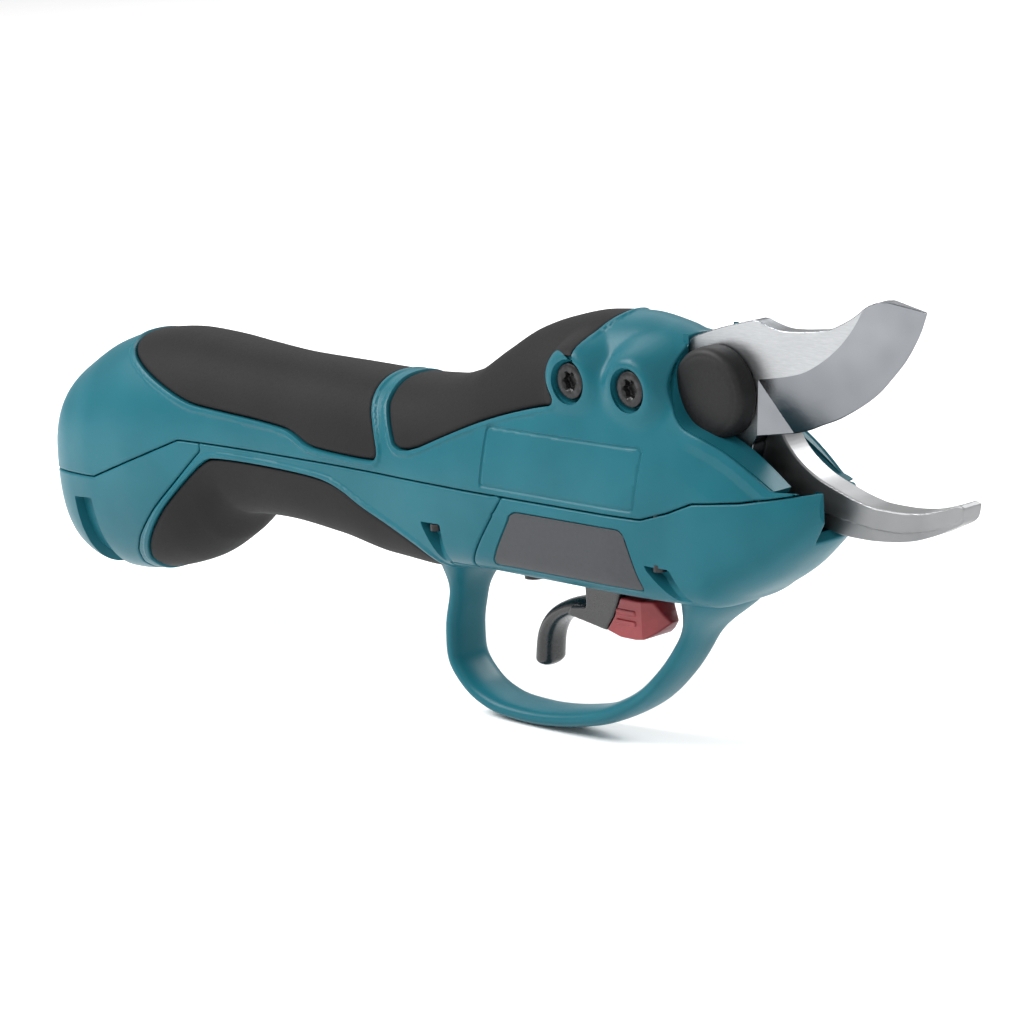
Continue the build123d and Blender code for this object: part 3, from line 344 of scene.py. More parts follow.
def along(points, count, soft=1.2):
    """A curve through points, evenly spaced by length, averaged over about soft mm each way."""
    a = np.asarray(points, float)
    s = np.concatenate([[0], np.cumsum(np.linalg.norm(np.diff(a, axis=0), axis=1))])
    dense = smooth_through(s, a, np.linspace(0, s[-1], 1200))
    reach = max(int(soft / s[-1] * 1200), 1)
    window = np.hanning(2 * reach + 1)
    window /= window.sum()
    ahead = 2 * dense[0] - dense[reach:0:-1]
    behind = 2 * dense[-1] - dense[-2:-reach - 2:-1]
    long = np.vstack([ahead, dense, behind])
    dense = np.stack([np.convolve(long[:, k], window, "valid") for k in (0, 1)], 1)
    s = np.concatenate([[0], np.cumsum(np.linalg.norm(np.diff(dense, axis=0), axis=1))])
    return smooth_through(s, dense, np.linspace(0, s[-1], count))


def eased(outline, times=2):
    """An outline with its corners cut off a quarter of the way along each side, several times."""
    a = np.asarray(outline, float)
    for _ in range(times):
        b = np.roll(a, -1, axis=0)
        a = np.stack([0.75 * a + 0.25 * b, 0.25 * a + 0.75 * b], 1).reshape(-1, 2)
    return a


def on_surface(field):
    """A field on the body's grid turned into true distance: divided by its slope there."""
    f = field.reshape(len(long_way), columns + 1)
    p = grid_xyz.reshape(len(long_way), columns + 1, 3)
    du = np.gradient(f, axis=0) / np.maximum(np.linalg.norm(np.gradient(p, axis=0), axis=2), 1e-3)
    dv = np.gradient(f, axis=1) / np.maximum(np.linalg.norm(np.gradient(p, axis=1), axis=2), 1e-3)
    return (f / np.clip(np.hypot(du, dv), 0.25, 1.5)).ravel()


def cut(data, faces, level, keep_below=False):
    """Triangles cut where the last column of data passes level, with new corners there."""
    f = data[:, -1] - level
    above = f > 0
    count = above[faces].sum(1)
    pieces = [faces[count == 3]] + ([faces[count == 0]] if keep_below else [])
    part = faces[(count == 1) | (count == 2)]
    if len(part) == 0:
        return data, np.vstack(pieces)
    lone_above = above[part].sum(1) == 1
    lone = np.where(above[part] == lone_above[:, None], 1, 0).argmax(1)
    each = np.arange(len(part))
    a, b, c = (part[each, (lone + k) % 3] for k in range(3))
    pairs = np.vstack([np.stack([a, b], 1), np.stack([a, c], 1)])
    pairs.sort(axis=1)
    unique, place_in = np.unique(pairs, axis=0, return_inverse=True)
    place_in = place_in.ravel() + len(data)
    t = (f[unique[:, 0]] / (f[unique[:, 0]] - f[unique[:, 1]]))[:, None]
    data = np.vstack([data, data[unique[:, 0]] * (1 - t) + data[unique[:, 1]] * t])
    ab, ac = place_in[:len(part)], place_in[len(part):]
    tip = np.stack([a, ab, ac], 1)
    rest = np.vstack([np.stack([ab, b, c], 1), np.stack([ab, c, ac], 1)])
    rest_above = np.concatenate([~lone_above, ~lone_above])
    if keep_below:
        pieces += [tip, rest]
    else:
        pieces += [tip[lone_above], rest[rest_above]]
    return data, np.vstack(pieces)


def weld(points, faces):
    """Corners within 0.002 mm made one, and collapsed triangles dropped.

    Gives the numbers of the corners that are still used, and the faces numbered to match.
    """
    key = np.round(points / 0.002).astype(np.int64)
    _, first, place_in = np.unique(key, axis=0, return_index=True, return_inverse=True)
    faces = place_in.ravel()[faces]
    a, b, c = faces.T
    used, faces = np.unique(faces[(a != b) & (b != c) & (a != c)], return_inverse=True)
    return first[used], faces.reshape(-1, 3)


def mesh_object(name, points, faces, sharp=35.0):
    """A mesh object from corners in millimetres and faces, smooth except at sharp angles."""
    mesh = bpy.data.meshes.new(name)
    mesh.from_pydata((points * mm).tolist(), [], faces.tolist())
    mesh.update()
    mesh.shade_smooth()
    mesh.set_sharp_from_angle(angle=np.radians(sharp))
    obj = bpy.data.objects.new(name, mesh)
    bpy.context.scene.collection.objects.link(obj)
    return obj


def closed(name, outer, inner, faces, sharp=35.0):
    """Two skins with the same faces, joined by walls along every edge that has one face only."""
    n = len(outer)
    edges = np.vstack([faces[:, [0, 1]], faces[:, [1, 2]], faces[:, [2, 0]]])
    key = np.sort(edges, axis=1) @ np.array([n, 1])
    _, index, times = np.unique(key, return_index=True, return_counts=True)
    rim = edges[index[times == 1]]
    walls = np.vstack([np.stack([rim[:, 1], rim[:, 0], rim[:, 0] + n], 1),
                       np.stack([rim[:, 1], rim[:, 0] + n, rim[:, 1] + n], 1)])
    every = np.vstack([faces, faces[:, ::-1] + n, walls])
    return mesh_object(name, np.vstack([outer, inner]), every, sharp)


def shell(name, field, thickness=1.6, edge=0.45, reliefs=(), shape=None):
    """A patch of the body where field, the distance from its rim, is above 0, as a closed shell.

    The edge is eased: within edge of the rim the surface drops by edge - sqrt(edge^2 - d^2) with
    d = edge - distance. Each relief is a field, its profile as (distance, height) pairs and a
    weight, and adds height times weight; triangles are split at every distance of the profile.
    shape moves the finished points.
    """
    extra = [grid for relief in reliefs for grid in (relief[0], relief[2])]
    data = np.column_stack([grid_u, grid_v, *extra, field])
    data, faces = cut(data, grid_faces, 0.0)
    for level in (0.12 * edge, 0.4 * edge, edge):
        data, faces = cut(data, faces, level, keep_below=True)
    for k, relief in enumerate(reliefs):
        order = [c for c in range(data.shape[1]) if c != 2 + 2 * k] + [2 + 2 * k]
        moved = data[:, order]
        for level, _ in relief[1]:
            moved, faces = cut(moved, faces, level, keep_below=True)
        data = moved[:, np.argsort(order)]
    points = body_point(data[:, 0], data[:, 1])
    kept, faces = weld(points, faces)
    data, points = data[kept], points[kept]
    normal = body_normal(data[:, 0], data[:, 1])
    reach = np.clip(edge - data[:, -1], 0, edge)
    height = -(edge - np.sqrt(np.maximum(edge ** 2 - reach ** 2, 0)))
    for k, (_, profile, _) in enumerate(reliefs):
        at, rise = np.array(profile).T
        height += np.interp(data[:, 2 + 2 * k], at, rise) * data[:, 3 + 2 * k]
    outer = points + normal * height[:, None]
    inner = points + normal * (np.minimum(height, 0.0) - thickness)[:, None]
    if shape is not None:
        outer, inner = shape(outer), shape(inner, -thickness)
    return closed(name, outer, inner, faces)


X, Y, Z = grid_xyz.T

# ---- teal shells ----
# Glass-filled nylon mouldings, satin with a fine grain, screwed together round the drive. The
# upper housing runs over the whole tool, the rear cover closes the bulb, the grip shell the
# handle and the guard housing the head.
seam_height = 13.3
far_below, far_above = -70.0, 80.0
rear_seam = [(-15.0, -0.2), (5.0, -0.2), (25.0, 0.3), (50.0, 9.8), (59.0, seam_height)]
nose_seam = [(pivot_x - 14.0, seam_height), (pivot_x - 6.0, 15.7), (pivot_x + 1.0, 18.5),
             (pivot_x + 13.0, 19.6), (nose_x - 4.0, 21.8), (nose_x + 15.0, 24.5)]
guard_edge = [(pivot_x - 58.0, seam_height), (pivot_x - 64.2, 4.9), (pivot_x - 67.7, 0.0),
              (pivot_x - 70.7, -4.2), (pivot_x - 71.0, -5.8), (pivot_x - 81.0, -5.8),
              (pivot_x - 81.0, far_below)]
rear_edge = [(66.9, seam_height), (66.9, 11.3), (55.8, 1.7), (46.3, -6.3), (37.9, -14.2),
             (33.5, -19.1), (30.9, -23.4), (30.0, far_below)]
cheek_lip = along([(pivot_x - 8.4, 53.6), (pivot_x - 8.3, 51.8), (pivot_x - 8.9, 49.4),
                   (pivot_x - 8.4, 46.0), (pivot_x - 8.0, 43.0), (pivot_x - 6.4, 38.5),
                   (pivot_x - 3.2, 34.9), (pivot_x + 2.3, 32.9), (pivot_x + 9.0, 30.0),
                   (pivot_x + 14.5, 26.7), (pivot_x + 20.4, 22.6)], 90, 2.0)
cheek_edge = np.vstack([[(pivot_x - 8.4, far_above)], cheek_lip,
                        [(nose_x + 15.0, 21.5), (nose_x + 15.0, far_above)]])
slot_edge = [(pivot_x - 9.0, far_above), (pivot_x - 9.0, 53.2), (pivot_x - 20.0, 44.0),
             (pivot_x - 20.0, 14.0), (pivot_x + 11.0, 14.0), (pivot_x + 15.0, 10.6),
             (nose_x + 15.0, 10.6), (nose_x + 15.0, far_above)]
top_grip_edge = eased([(30.0, far_above), (32.5, 38.0), (34.5, 34.6), (40.0, 31.6), (51.0, 27.0),
                       (62.0, 23.2), (70.0, 22.4), (98.0, 20.8), (103.0, 19.4), (107.0, 17.4),
                       (112.0, 16.6), (130.0, 16.2), (134.5, 17.0), (131.8, 23.0), (128.0, 29.0),
                       (126.8, 35.0), (126.5, far_above)])
front_grip_edge = eased([(pivot_x - 105.0, far_above), (pivot_x - 104.5, 32.5),
                         (pivot_x - 99.5, 25.0), (pivot_x - 95.0, 18.6), (pivot_x - 75.0, 26.8),
                         (pivot_x - 61.0, 31.8), (pivot_x - 47.0, 35.4), (pivot_x - 41.0, 36.4),
                         (pivot_x - 44.5, 41.5), (pivot_x - 45.0, 46.0), (pivot_x - 41.0, 49.2),
                         (pivot_x - 36.0, 48.6), (pivot_x - 33.6, 44.6), (pivot_x - 36.0, 51.0),
                         (pivot_x - 31.5, 56.0), (pivot_x - 22.0, 60.0),
                         (pivot_x - 22.0, far_above)])
lower_grip_edge = eased([(34.0, far_below), (34.0, -24.0), (39.0, -17.0), (48.0, -7.6),
                         (58.0, 1.0), (68.0, 8.8), (73.0, 9.8), (95.0, 9.8), (112.0, 9.2),
                         (120.0, 7.2), (127.0, 3.8), (139.0, 0.0), (149.0, -4.0),
                         (153.5, -9.0), (153.5, far_below)])


def rounded(outline, radius, stops=7):
    """An outline with each corner replaced by a curve that starts radius away from it."""
    a = np.asarray(outline, float)
    back, ahead = np.roll(a, 1, axis=0) - a, np.roll(a, -1, axis=0) - a
    start = a + back / np.linalg.norm(back, axis=1, keepdims=True) * radius
    end = a + ahead / np.linalg.norm(ahead, axis=1, keepdims=True) * radius
    t = np.linspace(0, 1, stops)[None, :, None]
    curve = (1 - t) ** 2 * start[:, None] + 2 * t * (1 - t) * a[:, None] + t ** 2 * end[:, None]
    return curve.reshape(-1, 2)


badge = on_surface(inside(rounded([(173.5, 29.1), (223.7, 29.2), (221.2, 14.9), (171.8, 15.1)],
                                  1.2), X, Z))
label = on_surface(inside(rounded([(pivot_x - 54.8, 10.3), (pivot_x - 19.4, 10.3),
                                   (pivot_x - 14.2, -3.5), (pivot_x - 63.3, -3.5)], 2.0), X, Z))
rear_scoop = on_surface(inside(rounded([(149.6, 3.8), (156.8, 4.0), (157.6, -6.0),
                                        (155.2, -6.2)], 0.4), X, Z))
front_scoop = on_surface(inside(rounded([(223.4, 3.0), (231.0, 2.9), (235.0, -4.6),
                                         (231.0, -4.6)], 0.4), X, Z))
latch = on_surface(inside([(14.5, -6.4), (22.6, -5.7), (21.4, -40.0), (12.5, -40.0)], X, Z))
near_side = np.where(Y < 0, 1.0, 0.0)
everywhere = np.ones(len(X))
scoop_depth = [(-0.05, 0.0), (0.25, -3.0)]
scoop_slope = np.clip((Z + 5.5) / 5.0, 0.0, 1.0)

upper = inside(rear_seam + nose_seam + [(nose_x + 15.0, far_above), (-15.0, far_above)], X, Z)
rear = inside(rear_seam + rear_edge + [(-15.0, far_below)], X, Z)
grip = inside(rear_edge[::-1] + guard_edge, X, Z)
guard = inside(guard_edge[::-1] + nose_seam + [(nose_x + 15.0, far_below)], X, Z)
top_grip = on_surface(inside(top_grip_edge, X, Z))
front_grip = on_surface(inside(front_grip_edge, X, Z))
lower_grip = on_surface(inside(lower_grip_edge, X, Z))
cheek = inside(cheek_edge, X, Z)
slot_near, slot_far = -4.6, 6.5
slot = np.maximum(np.maximum(slot_near - Y, Y - slot_far), -inside(slot_edge, X, Z))
socket_radius = 11.7
socket_opening = np.where(X < rear_face + 0.01, np.hypot(Y, Z) - socket_radius, 99.0)
screw_places = [(pivot_x - 17.5, 42.0), (pivot_x - 36.5, 42.0)]
screw_hole_radius = 5.0
boss_reach = 16.4
screw_holes = np.minimum.reduce([np.hypot(X - x, Z - z) for x, z in screw_places])
trigger_slot_rear, trigger_slot_front, trigger_slot_half = 185.0, 218.0, 6.0
trigger_slot = np.where(Z < 0, np.maximum.reduce([
    trigger_slot_rear - X, X - trigger_slot_front, np.abs(Y) - trigger_slot_half]), 99.0)
shell_wall = 2.2

joint_gap = 0.16                  # half the gap between two shells
rubber_gap = 0.3


def moulded(*fields):
    """The least of several distances, each on the surface, less half a joint's gap."""
    return np.minimum.reduce([on_surface(f) for f in fields]) - joint_gap


def step(x, start, end):
    """0 before start, 1 after end, smooth between."""
    t = np.clip((x - start) / (end - start), 0, 1)
    return t * t * (3 - 2 * t)


def bossed(points, inward=0.0):
    """Points near a side screw moved out to the flat face of its boss, y = boss_reach."""
    points = points.copy()
    for x, z in screw_places:
        distance = np.hypot(points[:, 0] - x, points[:, 2] - z)
        near = 1 - step(distance, 5.7, 11.5)
        lack = np.maximum(boss_reach + inward - np.abs(points[:, 1]), 0.0)
        points[:, 1] += np.sign(points[:, 1]) * near * lack
    return points


grip_rim = [(0.3, 0.0), (0.55, 0.34), (1.5, 0.38), (2.1, 0.0)]
groove = [(-0.35, 0.0), (0.0, -0.3), (0.35, -0.3), (0.6, -0.14)]
cheek_roll = [(0.2, 0.35), (2.2, 0.3), (4.6, -0.75), (7.0, -0.45), (11.0, 0.0)]
upper_field = np.minimum(moulded(upper, -cheek, slot, socket_opening, screw_holes
                                 - screw_hole_radius),
                         np.minimum(-top_grip, -front_grip) - rubber_gap)
upper_housing = shell("upper_housing_moulding", upper_field, shell_wall, shape=bossed, reliefs=[
    (np.minimum(-top_grip, -front_grip), grip_rim, everywhere),
    (badge, groove, everywhere),
    (on_surface(-cheek), cheek_roll, step(X, pivot_x - 5.0, pivot_x + 4.0))])
rear_cover = shell("rear_cover_moulding", moulded(rear, socket_opening), shell_wall,
                   reliefs=[(latch, [(-0.05, 0.0), (0.25, -2.4)], everywhere)])
grip_shell = shell("grip_shell_moulding",
                   np.minimum(moulded(grip), -lower_grip - rubber_gap), shell_wall,
                   reliefs=[(-lower_grip, grip_rim, everywhere),
                            (rear_scoop, scoop_depth, scoop_slope)])
guard_shell = shell("guard_housing_moulding", moulded(guard, slot, trigger_slot), shell_wall,
                    reliefs=[(label, [(-0.3, 0.0), (0.0, -0.55)], near_side),
                             (front_scoop, scoop_depth, scoop_slope)])


def ring_triangles(rings, segments, looped=False):
    """Two triangles for each cell between rings of corners, and from the last ring to the first
    where looped."""
    ring = np.arange(rings if looped else rings - 1)[:, None] * segments
    after = (ring + segments) % (rings * segments)
    here = np.arange(segments)[None]
    beside = (here + 1) % segments
    return np.vstack([np.stack([ring + here, ring + beside, after + beside], -1).reshape(-1, 3),
                      np.stack([ring + here, after + beside, after + here], -1).reshape(-1, 3)])


def turned(name, x, z, side, profile, lobes=0, segments=72):
    """A profile of (radius, depth, lobed) turned about an axis along Y at (x, z).

    y = side * depth. Radius 0 ends the profile at a pole; otherwise its last ring meets its
    first. Where lobed is 1 the radius is multiplied by 1 + 0.13 cos(lobes * angle).
    """
    radius, depth, lobed = np.array(profile, float).T
    angle = np.arange(segments) * 2 * np.pi / segments
    r = radius[:, None] * (1 + 0.13 * lobed[:, None] * np.cos(lobes * angle))
    points = np.stack([x + r * np.cos(angle), side * depth[:, None] + 0 * r,
                       z + r * np.sin(angle)], -1).reshape(-1, 3)
    faces = ring_triangles(len(radius), segments, looped=radius[0] > 0)
    kept, faces = weld(points, faces if side < 0 else faces[:, ::-1])
    return mesh_object(name, points[kept], faces, 30.0)


wall_out = boss_reach - 0.9
seat_depth = boss_reach - 2.9
cups = [turned(f"screw_seat_{k}_{'near' if side < 0 else 'far'}", x, z, side, [
    (screw_hole_radius + 0.05, wall_out, 0), (screw_hole_radius - 0.1, seat_depth + 0.4, 0),
    (screw_hole_radius - 0.5, seat_depth, 0), (2.1, seat_depth, 0), (2.1, seat_depth - 1.6, 0),
    (5.9, seat_depth - 1.6, 0), (5.9, wall_out, 0)])
    for k, (x, z) in enumerate(screw_places) for side in (-1, 1)]

# The cheek's edge carried inward as a wall, y from the surface to the frame's plates.
row = smooth_through(STATIONS[:, 0], STATIONS[:, 1:], cheek_lip[:, 0])
high = np.clip((cheek_lip[:, 1] - row[:, 3]) / (row[:, 0] - row[:, 3]), 0, 1)
surface_y = row[:, 2] * (1 - high ** row[:, 4]) ** (1 / row[:, 4])
lip_run = np.gradient(cheek_lip, axis=0)
lip_run /= np.linalg.norm(lip_run, axis=1, keepdims=True)
across_wall, cheek_wall = 9, 1.6
under = np.stack([lip_run[:, 1], 0 * lip_run[:, 0], -lip_run[:, 0]], -1)
under = np.repeat(under, across_wall, axis=0)
sheet = grid_triangles(len(cheek_lip), across_wall)
walls = []
for side, stop in ((-1, 5.2), (1, 10.9)):
    start = np.maximum(surface_y - 0.6, stop + 0.05)[:, None]
    y = side * (start + (stop - start) * np.linspace(0, 1, across_wall)[None])
    face = np.stack([cheek_lip[:, :1] + 0 * y, y, cheek_lip[:, 1:] + 0 * y], -1).reshape(-1, 3)
    face += under * joint_gap
    walls.append(closed(f"cheek_wall_{'near' if side < 0 else 'far'}", face,
                        face + under * cheek_wall, sheet if side > 0 else sheet[:, ::-1]))

nylon, wire, shader = material("teal_nylon", (0.0085, 0.098, 0.128), 0.42, Specular_IOR_Level=0.15)
grain = wire.noise(2600.0, 2.0)
cloud = wire.noise(45.0, 2.0).between(0.35, 0.65)
feed(wire, shader, Base_Color=cloud.blend((0.0070, 0.090, 0.118), (0.0100, 0.106, 0.138)),
     Roughness=0.29 + grain * 0.14, Normal=raised(wire, grain, 0.00002))

# ---- trigger guard ----
# The loop is moulded in one with the guard housing: a strap with a soft oval section that widens
# into the belly at both ends.


def swept(name, path, thick, wide, power=2.4, round_end=1.0, segments=96):
    """A superellipse swept along an X-Z path, half as thick and wide as given at each point.

    Its ends are domes: rings that shrink as cos(a) while they move on by sin(a) * thick *
    round_end.
    """
    tangent = np.gradient(path, axis=0)
    tangent /= np.linalg.norm(tangent, axis=1, keepdims=True)
    dome = np.linspace(0, np.pi / 2, 14)[1:]
    rings = len(dome)
    before = path[0] - tangent[0] * (np.sin(dome[::-1]) * thick[0] * round_end)[:, None]
    after = path[-1] + tangent[-1] * (np.sin(dome) * thick[-1] * round_end)[:, None]
    centre = np.vstack([before, path, after])
    tangent = np.pad(tangent, ((rings, rings), (0, 0)), mode="edge")
    shrink = np.concatenate([np.cos(dome[::-1]), np.ones(len(path)), np.cos(dome)])
    thick, wide = (np.pad(size, rings, mode="edge") * shrink for size in (thick, wide))
    angle = np.arange(segments) * 2 * np.pi / segments
    c, s = np.cos(angle), np.sin(angle)
    p = np.sign(c) * np.abs(c) ** (2 / power) * thick[:, None]
    q = np.sign(s) * np.abs(s) ** (2 / power) * wide[:, None]
    points = np.stack([centre[:, :1] - tangent[:, 1:] * p, q, centre[:, 1:] + tangent[:, :1] * p],
                      -1).reshape(-1, 3)
    kept, faces = weld(points, ring_triangles(len(centre), segments)[:, ::-1])
    return mesh_object(name, points[kept], faces, 60.0)


loop_path = along([(150.5, -3.0), (147.2, -10.5), (144.8, -19.2), (143.1, -25.6), (142.9, -32.7),
                   (146.6, -38.1), (151.3, -41.4), (159.7, -43.6), (168.6, -43.9), (177.0, -43.3),
                   (185.2, -42.0), (192.5, -40.3), (199.8, -37.3), (206.8, -33.4), (215.3, -25.9),
                   (219.9, -20.4), (224.7, -13.4), (228.8, -7.5), (232.0, -3.0)], 260, 5.0)
root = step(loop_path[:, 1], -19.0, -3.0)
strap = swept("guard_strap", loop_path, 2.25 + 4.0 * root ** 1.4, 5.9 + 6.6 * root ** 1.3, 2.5)
for piece in (upper_housing, *cups, *walls):
    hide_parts("upper_housing")
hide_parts("rear_lower_cover")
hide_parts("lower_grip_shell")
for piece in (guard_shell, strap):
    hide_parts("guard_housing")
for piece in (upper_housing, *cups, *walls, rear_cover, grip_shell, guard_shell, strap):
    piece.data.materials.append(nylon)
    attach(piece, "root")

# ---- rubber grips ----
# Soft elastomer with a fine matte grain, moulded over the nylon shells where the hand closes round
# the tool. Each patch is framed by a raised teal rim, and its own edge is well rounded.
rubber_wall, rubber_edge = 1.6, 0.9
boss_margin = 1.6
front_field = np.minimum.reduce([front_grip, screw_holes - screw_hole_radius - boss_margin,
                                 moulded(upper)])
rubbers = [
    ("top_grip_rubber", shell("top_grip_overmould", top_grip, rubber_wall, rubber_edge)),
    ("front_grip_rubber", shell("front_grip_overmould", front_field, rubber_wall, rubber_edge,
                                shape=bossed)),
    ("lower_grip_rubber", shell("lower_grip_overmould", lower_grip, rubber_wall, rubber_edge))]
rubber, wire, shader = material("grip_rubber_finish", (0.0160, 0.0155, 0.0163), 0.62,
                                Specular_IOR_Level=0.08)
grain = wire.noise(1900.0, 3.0)
cloud = wire.noise(30.0, 2.0).between(0.3, 0.7)
feed(wire, shader, Base_Color=cloud.blend((0.0140, 0.0134, 0.0141), (0.0180, 0.0173, 0.0182)),
     Roughness=0.50 + grain * 0.2, Normal=raised(wire, grain, 0.00004))
for node, piece in rubbers:
    piece.data.materials.append(rubber)
    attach(piece, "root")
    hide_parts(node)

# ---- label plate ----
# A thin plate of grey plastic foil with nothing printed on it. It is glued into a shallow recess in
# the guard housing's near side and lies a little below the shell around it.
foil_gap, foil_thickness, foil_sunk = 0.12, 0.3, 0.16
label_plate = shell("label_foil", np.minimum(label, -Y) - foil_gap, foil_thickness, foil_gap,
                    reliefs=[(label, [(0.0, -foil_sunk), (1.0, -foil_sunk)], everywhere)])
foil, wire, shader = material("label_foil_finish", (0.035, 0.038, 0.043), 0.45,
                              Specular_IOR_Level=0.3)
fleck = wire.noise(900.0, 2.0)
feed(wire, shader, Base_Color=fleck.between(0.3, 0.7).blend((0.032, 0.035, 0.039),
                                                            (0.038, 0.041, 0.046)),
     Roughness=0.38 + fleck * 0.12)
label_plate.data.materials.append(foil)
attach(label_plate, "root")
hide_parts("rating_label")

# ---- side screws ----
# Blacked steel pan-head screws with six-lobed sockets, two to a side. They sit in the cups of the
# upper housing and clamp it to the alloy frame.
screws = [turned(f"side_screw_{k}_{'near' if side < 0 else 'far'}", x, z, side, [
    (0.0, seat_depth + 0.3, 0), (1.55, seat_depth + 0.3, 1), (1.75, seat_depth + 0.5, 1),
    (1.95, seat_depth + 1.8, 1), (2.45, seat_depth + 2.15, 0), (3.5, seat_depth + 2.2, 0),
    (4.0, seat_depth + 2.0, 0), (4.2, seat_depth + 1.5, 0), (4.2, seat_depth + 0.02, 0),
    (2.0, seat_depth + 0.02, 0), (2.0, 7.0, 0), (0.0, 7.0, 0)][::-1], lobes=6)
    for k, (x, z) in enumerate(screw_places) for side in (-1, 1)]
blacked, wire, shader = material("blacked_steel", (0.020, 0.020, 0.021), 0.34, Metallic=0.6)
wear = wire.noise(700.0, 4.0)
feed(wire, shader, Base_Color=wear.between(0.45, 0.75).blend((0.016, 0.016, 0.017),
                                                             (0.040, 0.040, 0.042)),
     Roughness=0.26 + wear * 0.2, Normal=raised(wire, wear, 0.00001))
for piece in screws:
    piece.data.materials.append(blacked)
    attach(piece, "root")
    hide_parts("side_screws")

# ---- cutting blade ----
# One thick plate of ground steel: a brushed shank, a wide polished bevel down to the edge and a
# small three-cornered facet at its heel. Its tail is driven from inside the housing.


def plate(name, outline, near, far, edge=0.2, holes=(), splits=(), pitch=0.5, sharp=25.0):
    """A plate cut from an X-Z grid: near(x, z) and far(x, z) give its two faces' y.

    Corners are eased by edge, holes are (x, z, radius) or outlines, and triangles are split where
    a function in splits changes sign so that its crease is crisp.
    """
    outline = np.asarray(outline, float)
    (x0, z0), (x1, z1) = outline.min(0) - 0.7, outline.max(0) + 0.7
    gx, gz = np.meshgrid(np.arange(x0, x1 + pitch, pitch), np.arange(z0, z1 + pitch, pitch),
                         indexing="ij")
    faces = grid_triangles(*gx.shape)
    gx, gz = gx.ravel(), gz.ravel()
    distance = inside(outline, gx, gz)
    for hole in holes:
        if len(hole) == 3:
            distance = np.minimum(distance, np.hypot(gx - hole[0], gz - hole[1]) - hole[2])
        else:
            distance = np.minimum(distance, -inside(hole, gx, gz))
    data, faces = cut(np.column_stack([gx, gz, distance]), faces, 0.0)
    for level in (0.3 * edge, edge):
        data, faces = cut(data, faces, level, keep_below=True)
    for crease in splits:
        wider = np.column_stack([data, crease(data[:, 0], data[:, 1])])
        wider, faces = cut(wider, faces, 0.0, keep_below=True)
        data = wider[:, :-1]
    kept, faces = weld(data[:, :2], faces)
    x, z, distance = data[kept].T
    reach = np.clip(edge - distance, 0, edge)
    drop = edge - np.sqrt(np.maximum(edge ** 2 - reach ** 2, 0))
    y0, y1 = near(x, z), far(x, z)
    drop = np.minimum(drop, 0.49 * (y1 - y0))
    return closed(name, np.stack([x, y0 + drop, z], 1), np.stack([x, y1 - drop, z], 1), faces,
                  sharp)


def from_pivot(points):
    """Points given from the blade's pivot, as X-Z points of the tool."""
    return np.array(points, float) + (pivot_x, pivot_z)


def split_distance(x, z, curve):
    """Distance to an open polyline."""
    nearest = np.full(x.shape, 1e9)
    for (ax, az), (bx, bz) in zip(curve[:-1], curve[1:]):
        sx, sz = bx - ax, bz - az
        t = np.clip(((x - ax) * sx + (z - az) * sz) / (sx * sx + sz * sz), 0, 1)
        nearest = np.minimum(nearest, np.hypot(x - ax - t * sx, z - az - t * sz))
    return nearest


blade_near, blade_far, edge_land = -4.1, -0.1, 0.35
spine = along(from_pivot([(-8.0, 11.4), (0.5, 14.2), (10.3, 16.6)]), 12)
spine_back = along(from_pivot([(11.0, 16.9), (13.3, 16.0), (19.1, 14.9), (27.3, 15.5),
                               (31.9, 16.3), (35.4, 17.7), (39.5, 19.8), (43.5, 22.5),
                               (45.8, 23.3)]), 40)
tip = from_pivot([(48.0, 23.5), (56.8, 21.6)])
cutting_edge = along(from_pivot([(56.3, 20.4), (54.8, 17.1), (50.7, 11.0), (46.6, 6.7),
                                 (42.5, 2.9), (38.4, 0.1), (34.3, -2.2), (30.2, -4.2),
                                 (26.1, -5.7), (22.0, -7.3), (17.5, -8.5)]), 60)
bevel_line = along(from_pivot([(10.9, 3.5), (17.0, 4.5), (23.5, 6.0), (29.3, 8.8), (34.4, 12.4),
                               (38.3, 16.2), (41.0, 19.7), (44.4, 25.0)]), 50)
heel = from_pivot([(9.8, -9.2), (8.3, -11.3), (7.9, -13.2), (7.1, -15.8), (6.2, -19.0)])
eye_radius = 14.0
turn = np.radians(np.linspace(216.0, 126.5, 40))
eye = from_pivot(np.stack([eye_radius * np.cos(turn), eye_radius * np.sin(turn)], 1))
drive_height = 16.0
arm = pivot_z - drive_height
open_lean, close_angle, past_closed = 8.0, 44.0, 4.0
open_lead = arm * np.tan(np.radians(open_lean))
travel = open_lead + arm * np.tan(np.radians(close_angle - open_lean))
swing = np.linspace(0.0, close_angle + past_closed, 30)
pin = np.stack([open_lead - travel * swing / close_angle, 0 * swing - arm], 1)
bent = np.radians(swing)[:, None]
pin = np.hstack([pin[:, :1] * np.cos(bent) - pin[:, 1:] * np.sin(bent),
                 pin[:, :1] * np.sin(bent) + pin[:, 1:] * np.cos(bent)])
slot_radius = 2.85
half_turn = np.linspace(0, np.pi, 16)[:, None]
across = np.gradient(pin, axis=0)
across = np.stack([-across[:, 1], across[:, 0]], 1)
across /= np.linalg.norm(across, axis=1, keepdims=True)
cam_slot = from_pivot(np.vstack([
    pin + slot_radius * across,
    pin[-1] + slot_radius * (np.cos(half_turn) * across[-1]
                             + np.sin(half_turn) * [across[-1, 1], -across[-1, 0]]),
    (pin - slot_radius * across)[::-1],
    pin[0] + slot_radius * (-np.cos(half_turn) * across[0]
                            - np.sin(half_turn) * [across[0, 1], -across[0, 0]])]))
fork_left, fork_right, fork_end = -2.5, 9.2, -33.1
